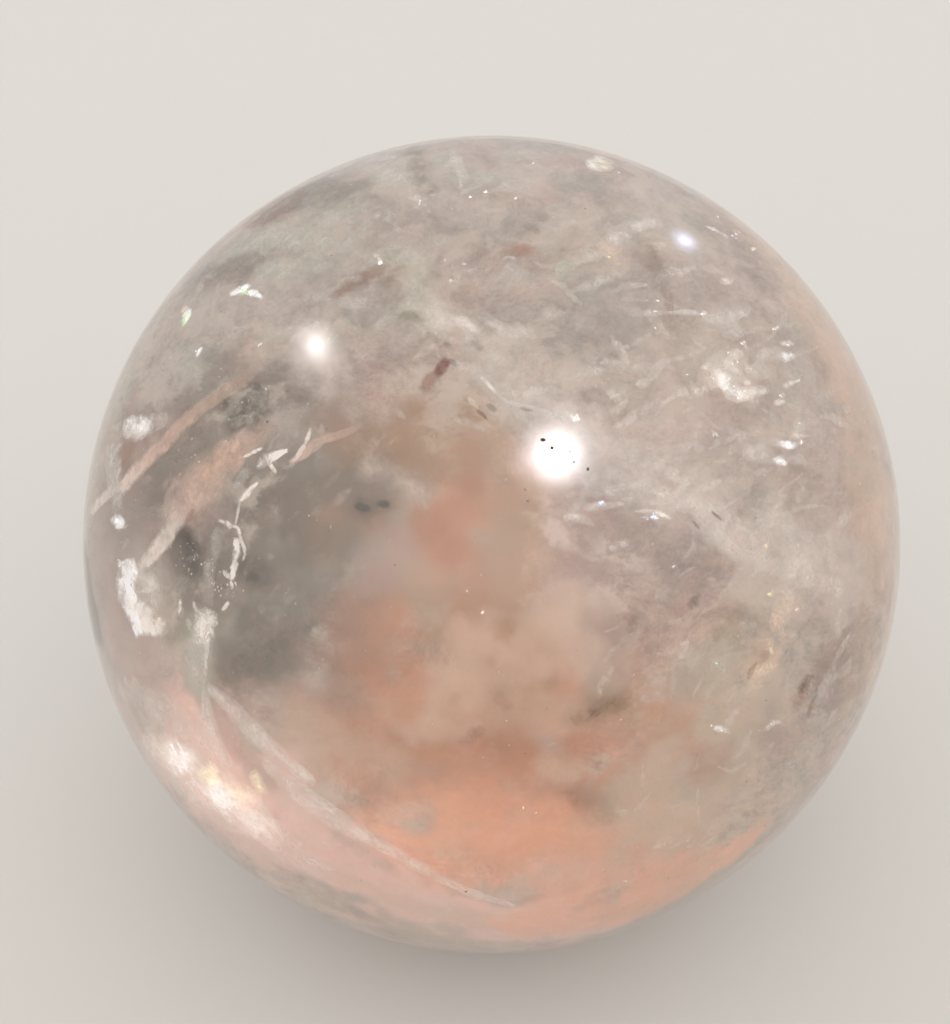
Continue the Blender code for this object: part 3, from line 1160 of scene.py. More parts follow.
# Thin hazes of bubbles, and the widest growth tube, with soft edges
hazes = {
    "look": {
        "ragSize": 2.8, "rag": 2.6, "keep": -0.35, "soft": 2.0, "shardSize": 3.0, "shatter": 0.04,
        "grainSize": 1.8, "thin": 0.6, "glow": 0.25,
    },
    "sheets": [
        # at the left
        ("lathPale lath lathTan lath lath", [
            (168, 524), (182, 504), (197, 487), (214, 469), (233, 452), (252, 438), (276, 420),
        ], [9, 20, 24, 21, 18, 15, 9], 0.0225, [0.6, 0.7, 0.8, 0.9, 0.9, 0.7, 0.3]),
        ("lathTan", [(198, 482), (214, 468), (234, 452), (256, 438)], [8, 13, 13, 8], 0.0215, 0.8),
        ("ash", [(130, 568), (140, 582), (150, 598), (160, 612)], [10, 17, 18, 11], 0.0205, 0.9),
        ("snow", [(134, 566), (145, 580), (156, 590)], [6, 10, 6], 0.020, 0.6),
        ("ash", [(201, 636), (197, 662), (200, 694)], [12, 16, 9], 0.0195, 0.75),
        ("ash", [(112, 444), (111, 470), (114, 500)], [5, 8, 6], 0.0215, 0.6),
        # the soft bands at the lower left
        ("snow", [
            (206, 686), (226, 702), (252, 730), (282, 758), (316, 784),
        ], [4, 8, 10, 9, 5], 0.0205, 0.75),
        ("snow", [(204, 690), (208, 716), (216, 744), (232, 772)], [4, 7, 9, 6], 0.0205, 0.6),
        ("snow", [(262, 758), (290, 786), (326, 816), (372, 844)], [6, 10, 10, 6], 0.0210, 0.5),
        ("snow", [(300, 784), (350, 824), (410, 862), (470, 892), (516, 906)], [4, 7, 7, 5, 3], 0.0215, 0.55),
        ("ash", [(140, 690), (160, 706), (184, 730)], [12, 20, 12], 0.0215, 0.6),
        # at the right
        ("snow", [(704, 386), (722, 370), (740, 350)], [12, 20, 12], 0.021, 0.6),
        ("snow", [(722, 362), (732, 372), (742, 384)], [7, 10, 6], 0.0205, 0.6),
        ("snow", [(738, 368), (756, 372), (772, 370)], [6, 11, 6], 0.020, 0.6),
        ("snow", [(754, 364), (768, 354), (782, 349)], [6, 10, 5], 0.020, 0.45),
        ("snow", [(740, 446), (758, 452), (776, 459)], [8, 12, 7], 0.0205, 0.5),
        ("snow", [(788, 436), (800, 427), (812, 416)], [5, 10, 6], 0.021, 0.4),
        ("ash", [(702, 317), (716, 321), (732, 317), (754, 307)], [5, 9, 10, 5], 0.020, 0.8),
        ("ash", [(720, 333), (733, 333), (746, 331)], [5, 9, 5], 0.020, 0.8),
        ("snow", [(744, 392), (758, 391), (770, 389)], [4, 7, 4], 0.020, 0.6),
    ],
}

# Cracks seen flat on, which send the light back as soft patches, some of them iridescent. The light they send
# back is painted: pale and iridescent tints with a strong glow of their own
gleams = {
    "look": {
        "ragSize": 1.5, "rag": 2.4, "keep": -0.25, "soft": 1.6, "shardSize": 1.8, "shatter": 0.05,
        "grainSize": 1.4, "thin": 0.6, "glow": 0.45,
    },
    "sheets": [
        # at the lower left
        ("lavenderWhite", [
            (140, 738), (168, 756), (206, 786), (246, 816), (280, 846),
        ], [14, 22, 26, 24, 10], 0.021, 0.5),
        ("spark", [(168, 742), (179, 756), (185, 776)], [10, 17, 11], 0.019, 0.95),
        ("candle", [(203, 764), (210, 777), (216, 790)], [8, 12, 8], 0.018, 0.95),
        ("spark", [(206, 784), (221, 797), (236, 810)], [8, 14, 9], 0.018, 1.0),
        ("candle rose", [(228, 785), (243, 797), (262, 804)], [8, 14, 8], 0.018, 0.85),
        ("candle", [(251, 768), (257, 781), (264, 796)], [4, 8, 5], 0.018, 0.7),
        ("rose spark", [(232, 808), (248, 818), (268, 830)], [7, 12, 8], 0.0185, 0.5),
        # at the left
        ("spark", [(122, 431), (137, 427), (152, 423)], [8, 14, 8], 0.018, 0.85),
        ("spark", [(183, 323), (187, 315), (191, 308)], [2, 5, 2], 0.0165, 1.0),
        ("leaf", [(182, 327), (185, 321), (188, 317)], [1.5, 3, 1.5], 0.0155, 0.9),
        ("rose", [(181, 313), (184, 309), (188, 306)], [1.5, 3, 1.5], 0.0155, 0.8),
        ("spark", [(229, 295), (240, 290), (251, 284)], [2, 4.5, 2], 0.0165, 0.95),
        ("spark", [(246, 292), (254, 293), (263, 298)], [2, 4, 2], 0.0165, 0.9),
        ("spark", [(196, 358), (199, 351), (203, 346)], [1, 2.5, 1], 0.016, 0.9),
        # at the right
        ("snow", [(714, 364), (718, 374), (723, 386)], [5, 9, 6], 0.0195, 0.85),
        ("spark", [(718, 374), (724, 381), (730, 388)], [5, 9, 6], 0.018, 0.85),
        ("spark", [(724, 385), (732, 392), (741, 400)], [5, 9, 5], 0.0185, 0.65),
        ("snow", [(736, 400), (747, 394), (758, 387)], [4, 8, 5], 0.019, 0.65),
        ("ash", [(748, 390), (758, 392), (768, 390)], [3, 5, 3], 0.019, 0.85),
        ("snow", [(744, 384), (748, 383), (752, 384)], [2, 4, 2], 0.0185, 0.8),
        ("snow", [(728, 356), (736, 354), (744, 356)], [4, 7, 4], 0.020, 0.5),
        ("snow", [(700, 366), (706, 367), (712, 366)], [3, 5, 3], 0.020, 0.6),
        ("spark", [(780, 353), (787, 357), (794, 353)], [4, 7, 4], 0.0175, 0.85),
        ("snow", [(780, 345), (787, 343), (795, 345)], [2.5, 4, 2.5], 0.018, 0.55),
        ("snow", [(774, 404), (780, 402), (786, 400)], [2, 4, 2], 0.018, 0.75),
        ("snow", [(719, 282), (727, 281), (735, 282)], [3, 5, 3], 0.018, 0.6),
        ("spark", [(777, 443), (788, 445), (798, 446)], [2.5, 6, 2.5], 0.0165, 0.85),
        ("spark", [(782, 445), (788, 445), (794, 446)], [2, 4, 2], 0.015, 1.0),
        ("spark", [(771, 459), (779, 461), (788, 464)], [3, 6, 3.5], 0.0165, 0.8),
        ("spark", [(775, 461), (779, 461), (784, 461)], [2, 4, 2], 0.015, 1.0),
        ("snow", [(792, 434), (799, 436), (808, 435)], [3, 5, 3], 0.019, 0.6),
        ("ash", [(664, 313), (684, 312), (702, 314)], [2, 3.5, 3], 0.019, 0.6),
        ("spark", [(701, 312), (704, 313), (707, 314)], [2, 4, 2], 0.0165, 1.0),
        ("spark candle", [(586, 164), (598, 163), (614, 167)], [5, 9, 6], 0.0155, 1.0),
        ("candle", [(750, 250), (753, 249), (757, 250)], [1.5, 3, 1.5], 0.0155, 0.8),
    ],
}

# Frosted cracks at the left, white and rough where they reach towards the surface
frost = {
    "look": {
        "ragSize": 1.8, "rag": 2.6, "keep": 0.0, "soft": 0.9, "shardSize": 3.0, "shatter": 0.1,
        "grainSize": 2.2, "thin": 0.6, "glow": 0.3,
    },
    "sheets": [
        ("spark", [(108, 521), (117, 522), (129, 526)], [5, 9, 4], 0.016, 1.0),
        ("snow", [(116, 512), (118, 518), (119, 524)], [4, 6, 5], 0.0165, 0.9),
        ("spark", [
            (126, 558), (128, 578), (129, 598), (134, 614), (140, 638),
        ], [9, 13, 12, 10, 4], 0.016, 1.0),
        ("snow", [(124, 562), (132, 566), (138, 572)], [5, 7, 3], 0.0165, 0.9),
        ("snow", [(128, 598), (140, 614), (154, 625), (169, 627)], [8, 13, 14, 9], 0.0155, 1.0),
        ("ash", [(134, 592), (146, 590), (160, 586)], [2, 4, 2], 0.018, 0.9),
        ("snow", [(256, 469), (264, 461), (274, 455), (288, 450)], [3.5, 7, 6, 2], 0.015, 1.0),
        ("snow", [(270, 463), (273, 469), (277, 474)], [1.5, 3, 1], 0.015, 0.9),
        ("snow", [(242, 458), (252, 453), (263, 447)], [1.5, 3, 1.5], 0.015, 0.95),
        ("lathPale", [(292, 463), (299, 454), (306, 442), (311, 429)], [2.5, 3.5, 3, 2], 0.016, 0.75),
        ("snow", [(239, 503), (247, 493), (260, 480)], [3, 4.5, 1.5], 0.015, 0.95),
        ("ash", [(240, 500), (238, 512), (235, 526)], [1, 2, 1], 0.016, 0.8),
        ("snow", [(217, 520), (226, 523), (232, 528)], [1.5, 3.5, 3.5], 0.015, 0.9),
        ("snow", [
            (230, 526), (238, 528), (241, 540), (245, 552), (242, 562),
        ], [2, 2, 2.5, 2.5, 1], 0.0155, 0.8),
        ("snow", [(236, 537), (237, 550), (234, 566), (232, 582)], [3, 5, 4.5, 2.5], 0.015, 0.95),
        ("snow", [(222, 570), (227, 575), (232, 578)], [2, 3.5, 2], 0.0155, 0.7),
        ("snow", [(230, 580), (232, 585), (233, 590)], [1, 2.5, 1], 0.0155, 0.8),
        ("snow", [(229, 601), (226, 606), (222, 611)], [1.5, 3, 1.5], 0.015, 0.95),
        ("snow", [(180, 599), (180, 606), (179, 616)], [1.5, 2.5, 1], 0.015, 0.9),
        ("ash", [(193, 600), (195, 607), (198, 615)], [1.5, 3, 1.5], 0.015, 0.85),
        ("snow", [(186, 618), (189, 623), (192, 629)], [3, 4.5, 3], 0.015, 0.95),
        ("snow", [(212, 610), (207, 618), (202, 630), (199, 648)], [7, 13, 15, 13], 0.0155, 1.0),
        ("ash", [(208, 622), (207, 640), (206, 662)], [2, 4, 2], 0.015, 0.7),
        ("ash", [(206, 650), (205, 672), (203, 696), (203, 720)], [2, 3, 2, 1], 0.016, 0.6),
    ],
}

# Growth tubes at the left: straight flat channels with a film of iron in them
laths = {
    "look": {
        "ragSize": 1.8, "rag": 1.6, "keep": -0.1, "soft": 0.9, "shardSize": 5.0, "shatter": 0.04,
        "grainSize": 1.6, "thin": 0.65, "glow": 0.2,
    },
    "sheets": [
        ("lathPale lath lathTan lathTan lathTan", [
            (117, 494), (132, 476), (150, 457), (168, 440), (185, 422), (203, 406), (222, 393), (245, 377),
            (264, 363),
        ], [7, 8, 8, 8, 8, 8, 8, 8, 6], 0.021, [0.95, 1.0, 0.85, 0.7, 0.7, 0.6, 0.5, 0.4, 0.1]),
        ("lathPale", [(89, 516), (100, 502), (121, 482)], [3, 5, 7], 0.0205, [0.7, 0.85, 0.7]),
        ("lathPale lathPale lathPale lath", [
            (139, 569), (148, 560), (158, 548), (168, 534), (178, 517), (186, 504),
        ], [5, 8, 9, 9, 11, 12], 0.021, [0.95, 1.0, 1.0, 0.85, 0.6, 0.25]),
        ("mauveRed", [(184, 524), (189, 517), (195, 508)], [2, 5, 3], 0.0205, 0.5),
        ("lath", [
            (288, 464), (304, 454), (320, 441), (342, 434), (364, 424),
        ], [3, 6, 6, 5, 3], 0.022, [0.6, 0.65, 0.6, 0.35, 0.1]),
        ("mauveRed", [(118, 470), (126, 456), (130, 444)], [2, 4, 3], 0.0225, 0.5),
    ],
}

# Iron rust at the end of a growth tube, a few dark grains, and two sheets of painted shade, the dark behind
# the stone seen through
rust = {
    "look": {
        "ragSize": 1.6, "rag": 1.3, "keep": -0.15, "soft": 1.0, "shardSize": 2.0, "shatter": 0.05,
        "grainSize": 1.0, "thin": 0.7, "glow": 0.1,
    },
    "sheets": [
        ("rust", [(449, 357), (443, 366), (436, 376)], [4, 7.5, 5], 0.016, 0.9),
        ("mauveRed", [(440, 370), (430, 380), (422, 392)], [5, 9, 5], 0.02, 0.7),
        ("greyDark", [(446, 362), (452, 362), (458, 366)], [2, 4, 2], 0.018, 0.6),
        ("brown", [(476, 410), (482, 414), (488, 420)], [1.5, 2.5, 1.5], 0.015, 0.95),
        ("greyDark", [(486, 404), (492, 408), (497, 412)], [2, 4, 2], 0.018, 0.6),
        ("greyDark", [(519, 408), (526, 409), (534, 410)], [1.5, 3, 1.5], 0.018, 0.6),
        ("soot", [(711, 511), (717, 516), (723, 521)], [1, 2, 1], 0.018, 0.6),
        ("soot", [(692, 520), (697, 526), (700, 530)], [1, 2, 1], 0.018, 0.45),
        # painted shade: the dark behind the stone seen through the left windows
        ("smokeDark", [(354, 504), (362, 507), (372, 509)], [3, 5, 3], 0.02, 0.5),
        ("smokeDark", [(376, 504), (384, 504), (391, 506)], [3, 5.5, 3], 0.02, 0.7),
    ],
}

# Patches of the milk with edges of their own, in the milk's tints. The dark ones at the windows and on the
# right are painted shade, the dark behind the stone seen through
patches = {
    "look": {
        "ragSize": 2.6, "rag": 3.4, "keep": -0.05, "soft": 1.5, "shardSize": 3.0, "shatter": 0.07,
        "grainSize": 2.0, "thin": 0.5, "glow": 0.27,
    },
    "sheets": [
        # the top
        ("white", [(316, 174), (345, 166), (375, 160), (404, 156)], [8, 13, 18, 12], 0.021, 0.6),
        ("white", [(374, 182), (392, 172), (406, 158)], [11, 19, 11], 0.0215, 0.65),
        ("brown", [(240, 228), (262, 215), (282, 202), (304, 186)], [7, 13, 17, 10], 0.022, 0.95),
        ("greyDark", [(296, 202), (325, 193), (356, 198)], [10, 17, 10], 0.022, 0.85),
        ("greenWhite", [(226, 252), (262, 242), (300, 238), (338, 240)], [9, 15, 15, 10], 0.0215, 0.8),
        ("greyDark", [(210, 276), (232, 267), (250, 262), (268, 258)], [5, 9, 9, 4], 0.021, 0.95),
        ("greenWhite", [(256, 277), (296, 264), (336, 262)], [9, 15, 10], 0.0215, 0.7),
        ("white", [(336, 256), (350, 244), (356, 232)], [7, 11, 5], 0.021, 0.4),
        ("brown", [(328, 298), (345, 288), (360, 279), (382, 268)], [5, 8, 8, 5], 0.021, 0.7),
        ("white", [(335, 306), (350, 301), (367, 306)], [6, 12, 7], 0.0215, 0.65),
        ("mauve", [(372, 284), (392, 291), (408, 302)], [8, 13, 6], 0.022, 0.5),
        ("greyDark", [(411, 144), (417, 170), (424, 194)], [8, 11, 8], 0.021, 0.6),
        ("white", [(449, 144), (458, 165), (466, 186)], [6, 9, 6], 0.021, 0.6),
        ("greyDark", [(396, 316), (410, 316), (424, 323)], [4, 6, 4], 0.020, 0.6),
        ("brown", [(414, 344), (428, 336), (440, 343)], [4, 7, 3], 0.020, 0.39),
        ("greyDark", [(462, 346), (474, 344), (485, 351)], [3, 6, 3], 0.0195, 0.75),
        ("greyDark", [(443, 344), (447, 344), (451, 347)], [2, 4.5, 2], 0.0195, 0.75),
        ("mauve", [(450, 268), (462, 262), (478, 265)], [6, 9, 5], 0.022, 0.6),
        ("greyDark", [(460, 250), (471, 247), (484, 254)], [4, 8, 4], 0.021, 0.49),
        ("pale", [(431, 247), (441, 243), (454, 235)], [4, 7, 4], 0.021, 0.6),
        ("white", [(445, 282), (452, 281), (459, 283)], [2, 4.5, 2], 0.019, 0.7),
        ("white", [(371, 219), (377, 216), (381, 211)], [2, 4.5, 2], 0.019, 0.7),
        ("brown", [(485, 197), (500, 195), (515, 196)], [4, 7, 4], 0.021, 0.39),
        ("mauve", [(527, 217), (540, 214), (551, 221)], [4, 8, 4], 0.021, 0.6),
        ("greyDark", [(523, 228), (531, 228), (541, 233)], [3, 6.5, 3], 0.0205, 0.65),
        ("mauveRed", [(500, 247), (520, 250), (544, 254)], [5, 10, 5], 0.0215, 0.5),
        ("white", [(499, 274), (512, 268), (525, 280)], [7, 12, 7], 0.0205, 0.55),
        ("greenWhite", [(555, 276), (565, 267), (581, 260)], [6, 10, 5], 0.0205, 0.8),
        ("white", [(577, 255), (588, 252), (599, 263)], [5, 10, 6], 0.021, 0.7),
        ("cream", [(596, 246), (610, 252), (622, 268)], [8, 13, 8], 0.0215, 0.8),
        ("greyDark", [(630, 244), (648, 256), (661, 274)], [9, 15, 9], 0.022, 0.62),
        ("brown", [(664, 282), (668, 300), (672, 316)], [5, 8, 4], 0.0215, 0.58),
        ("greyGreen", [(588, 292), (606, 284), (624, 288)], [9, 14, 8], 0.022, 0.65),
        ("greyGreen", [(558, 185), (582, 184), (606, 191)], [7, 10, 6], 0.022, 0.55),
        ("pinkGrey", [(558, 166), (578, 164), (594, 171)], [7, 9, 5], 0.022, 0.5),
        ("pale", [(498, 152), (530, 154), (562, 158)], [5, 8, 5], 0.021, 0.6),
        # the right
        ("brown", [(703, 392), (716, 397), (727, 405)], [5, 10, 5], 0.0215, 0.39),
        ("mauve", [(702, 410), (735, 420), (762, 425)], [10, 19, 12], 0.0225, 0.4),
        ("mauve", [(778, 498), (805, 511), (828, 532)], [8, 15, 8], 0.0225, 0.2),
        ("mauve", [(698, 560), (718, 552), (738, 567)], [8, 14, 8], 0.0225, 0.5),
        # painted shade: a dark spot where the dark behind the stone shows through
        ("smokeDark", [(689, 611), (694, 601), (701, 590)], [4, 8, 4], 0.0185, 0.85),
        ("smoke", [(698, 590), (704, 586), (711, 583)], [3, 4.5, 2], 0.0185, 0.7),
        ("cream", [(777, 608), (781, 622), (777, 636)], [6, 13, 7], 0.0205, 0.9),
        ("creamYellow", [(750, 676), (762, 670), (775, 662)], [5, 9, 5], 0.0205, 0.95),
        ("cream", [(758, 654), (765, 646), (771, 636)], [5, 8, 5], 0.0200, 0.85),
        ("brown", [(747, 682), (751, 672), (757, 660)], [2, 4, 2], 0.020, 0.6),
        # painted shade: a dark spot where the dark behind the stone shows through
        ("smokeDark", [(799, 696), (806, 684), (813, 672)], [5, 9, 5], 0.0205, 0.5),
        ("brown", [(807, 718), (812, 704), (817, 694)], [2, 3.5, 2], 0.0205, 0.7),
        ("brown", [(825, 698), (832, 690), (839, 683)], [4, 7, 3], 0.0205, 0.6),
        ("mauve", [(841, 642), (848, 631), (857, 627)], [4, 8, 4], 0.021, 0.6),
        ("greenWhite", [(711, 660), (719, 664), (725, 671)], [3, 6, 3], 0.021, 0.6),
        ("pale", [(671, 561), (676, 568), (681, 578)], [3, 5, 3], 0.020, 0.6),
        ("olive", [(712, 640), (735, 625), (745, 598)], [8, 13, 8], 0.0225, 0.35),
        # below
        ("brown", [(456, 744), (471, 738), (486, 728)], [6, 11, 6], 0.0215, 0.5),
        ("olive", [(572, 723), (596, 712), (634, 700)], [6, 12, 6], 0.0215, 0.75),
        ("brown", [(583, 713), (591, 711), (600, 714)], [3, 5, 3], 0.021, 0.6),
        ("brown", [(567, 786), (573, 800), (578, 816)], [4, 7, 4], 0.0215, 0.5),
        ("mauveRed", [(591, 804), (602, 814), (615, 823)], [7, 12, 7], 0.0215, 0.5),
        ("white", [(544, 747), (551, 743), (557, 740)], [3, 6, 3], 0.0215, 0.5),
        ("mauveRed", [(493, 692), (502, 700), (509, 714)], [6, 10, 6], 0.0215, 0.4),
        # the windows at the left: painted shade, the dark behind the stone seen through its clear parts
        ("smoke", [(172, 403), (186, 393), (203, 381)], [7, 13, 8], 0.0245, 0.6),
        ("smoke", [(216, 428), (240, 409), (263, 387)], [9, 17, 9], 0.0245, 0.65),
        ("smokeDark", [(232, 416), (244, 404), (256, 392)], [6, 12, 6], 0.024, 0.72),
        ("smoke", [(287, 383), (297, 390), (309, 403)], [8, 13, 7], 0.0245, 0.6),
        ("smoke", [(175, 464), (192, 447), (213, 433)], [7, 13, 7], 0.0245, 0.5),
        ("smoke", [(149, 488), (164, 469), (179, 451)], [9, 14, 7], 0.0245, 0.45),
        ("smoke", [(127, 513), (146, 504), (165, 490)], [9, 16, 9], 0.0245, 0.45),
        ("smoke", [(222, 516), (228, 500), (232, 483)], [7, 12, 6], 0.0245, 0.5),
        ("smokeDark", [(182, 562), (190, 553), (202, 547)], [8, 12, 8], 0.024, 0.5),
        ("smoke", [(180, 592), (186, 573), (193, 559)], [9, 15, 9], 0.0245, 0.5),
        ("smoke", [(217, 602), (222, 573), (226, 547)], [6, 9, 6], 0.0245, 0.6),
        ("smoke", [(243, 574), (255, 576), (284, 584)], [7, 12, 6], 0.0245, 0.6),
        ("smokeDark", [(242, 577), (250, 576), (263, 579)], [4, 7, 4], 0.024, 0.3),
        ("paintedDarkGreen", [(230, 673), (262, 656), (310, 619)], [10, 21, 9], 0.0245, 0.5),
        ("smoke", [(244, 665), (262, 652), (278, 645)], [6, 12, 6], 0.024, 0.5),
    ],
}

# More cracks of the same kinds, strewn at random over the sides that the photograph doesn't show
strewn = {
    "seed": 21,
    "turns": (60, 300),  # degrees round the stone from the photographed side
    "spread": 330,  # pixels from the middle
    "slant": (0.3, 0.7),  # the sheets' mean slant and its spread, in radians
    # piece: how many, tints, lengths and half widths in pixels, depth, densities
    "kinds": {
        "healedCracks": (30, ("snow", "snow", "ash"), (40, 160), (8, 26), 0.021, (0.35, 0.8)),
        "crackEdges": (10, ("snow", "ash"), (12, 40), (2, 5), 0.016, (0.6, 1.0)),
        "frostedCracks": (8, ("snow", "ash"), (18, 60), (4, 10), 0.016, (0.6, 1.0)),
        "hazes": (34, ("snow", "ash", "greenWhite"), (50, 150), (10, 26), 0.021, (0.4, 0.8)),
        "gleamingCracks": (14, ("spark", "snow", "rose"), (14, 50), (4, 10), 0.0185, (0.6, 0.95)),
        "fineWisps": (170, ("snow", "ash", "white"), (16, 60), (2.5, 8), 0.0215, (0.3, 0.75)),
        "milkPatches": (26, ("greyDark", "mauve", "white", "brown"), (24, 80), (6, 16), 0.0215, (0.3, 0.65)),
    },
}


# A path of a few legs that turns a little at each of them
def wander(pick, x, y, slant, sway, lengths):
    angle = pick.gauss(slant, sway)
    step = pick.uniform(*lengths) / sheetGrid["legs"]
    path = [(x, y)]
    for leg in range(sheetGrid["legs"]):
        angle += pick.gauss(0, sheetGrid["bend"])
        x += math.cos(angle) * step
        y += math.sin(angle) * step
        path.append((x, y))
    return path


def strewnSheets(pick, count, tintsUsed, lengths, widths, depth, denses):
    sheets = []
    while len(sheets) < count:
        x = photo["ballX"] + pick.uniform(-1, 1) * strewn["spread"]
        y = photo["ballY"] + pick.uniform(-1, 1) * strewn["spread"]
        if math.dist((x, y), (photo["ballX"], photo["ballY"])) > strewn["spread"]:
            continue
        path = wander(pick, x, y, *strewn["slant"], lengths)
        width = pick.uniform(*widths)
        turn = pick.uniform(*strewn["turns"])
        round_ = Matrix.Rotation(math.radians(turn), 3, "Z")
        if not isHidden(path, round_):
            continue
        leaf = [width * part for part in sheetGrid["leaf"]]
        sheets.append((pick.choice(tintsUsed), path, leaf, depth, pick.uniform(*denses), turn))
    return sheets


# Small ragged wisps, strewn over parts of the photographed side between two corners in pixels
fineWisps = {
    "look": {
        "ragSize": 1.1, "rag": 3.4, "keep": -0.05, "soft": 2.2, "shardSize": 1.6, "shatter": 0.05,
        "grainSize": 0.9, "thin": 0.4, "glow": 0.22,
    },
    "sheets": [],
}
wispletDepths = (0.020, 0.023)
wispletSway = 0.35  # radians
wispletEdge = 0.95  # none reaches past this share of the ball's radius
wisplets = [
    {
        "corners": (560, 180, 850, 520), "count": 110, "tints": ("snow", "ash", "white"),
        "lengths": (16, 60), "widths": (2.5, 8.0), "slant": -0.12, "denses": (0.3, 0.8),
    },
    {
        "corners": (380, 140, 660, 420), "count": 70, "tints": ("snow", "ash", "white", "white"),
        "lengths": (16, 56), "widths": (3.0, 10.0), "slant": 0.3, "denses": (0.3, 0.7),
    },
    {
        "corners": (150, 170, 420, 370), "count": 60, "tints": ("greenWhite", "white", "ash"),
        "lengths": (16, 56), "widths": (4.0, 11.0), "slant": -0.35, "denses": (0.3, 0.7),
    },
    {
        "corners": (600, 440, 870, 860), "count": 80, "tints": ("snow", "ash", "cream"),
        "lengths": (14, 50), "widths": (2.5, 8.0), "slant": -0.7, "denses": (0.25, 0.65),
    },
    {
        "corners": (100, 380, 330, 640), "count": 36, "tints": ("ash", "milk"),
        "lengths": (14, 44), "widths": (2.5, 8.0), "slant": -0.9, "denses": (0.2, 0.5),
    },
]


def wispletSheets(kind, pick):
    left, top, right, bottom = kind["corners"]
    middle = (photo["ballX"], photo["ballY"])
    sheets = []
    while len(sheets) < kind["count"]:
        x = pick.uniform(left, right)
        y = pick.uniform(top, bottom)
        path = wander(pick, x, y, kind["slant"], wispletSway, kind["lengths"])
        if max(math.dist(point, middle) for point in path) > photo["ballRadius"] * wispletEdge:
            continue
        width = pick.uniform(*kind["widths"])
        leaf = [width * part for part in sheetGrid["leaf"]]
        depth = pick.uniform(*wispletDepths)
        sheets.append((pick.choice(kind["tints"]), path, leaf, depth, pick.uniform(*kind["denses"])))
    return sheets


# piece: its sheets, and its material's name
sheetGroups = {
    "healedCracks": (veils, "healedCrack"),
    "fineWisps": (fineWisps, "fineWisp"),
    "hazes": (hazes, "haze"),
    "gleamingCracks": (gleams, "gleamingCrack"),
    "crackEdges": (streaks, "crackEdge"),
    "growthTubes": (laths, "growthTubeFilm"),
    "ironStains": (rust, "ironStain"),
    "milkPatches": (patches, "milkPatch"),
    "frostedCracks": (frost, "frostedCrack"),
}


def makeSheets():
    pick = random.Random(strewn["seed"])
    for kind in wisplets:
        fineWisps["sheets"] += wispletSheets(kind, pick)
    for group, material in sheetGroups.values():
        group["sheets"] += hiddenCopies(group["sheets"])
    for name, kind in strewn["kinds"].items():
        sheetGroups[name][0]["sheets"] += strewnSheets(pick, *kind)
    return {
        name: sheetMesh(name, group["sheets"], raggedSheet(material, group["look"]))
        for name, (group, material) in sheetGroups.items()
    }


sheetPieces = makeSheets()
print("sheets made")

# All flakes are flat round chips
chipSides = 8
chipShares = (0.8, 1.2)  # of the size that is asked for
chipStretch = ((0.35, 0.35, 1), (1.3, 1.3, 1))  # the least and the most that one is drawn out

# Chips of frosted crack
frostChips = {
    "density": 0.5e6,  # on a square metre of frosted crack
    "sizes": (0.08, 0.28),  # half widths in mm
    "tumble": 0.3,  # 1 is turned every way, 0 lies flat
    "glow": 0.15,
    "dense": 0.4,
    "seed": 3,
}

# Loose chips all round the stone
strays = {
    "count": 2600,
    "sizes": (0.05, 0.17),
    "shares": (0.94, 0.98),  # of the stone's radius
    "tints": ("snow", "snow", "ash", "ice", "brown"),
    "tumble": 0.6,
    "placeSeed": 11,
    "seed": 8,
}
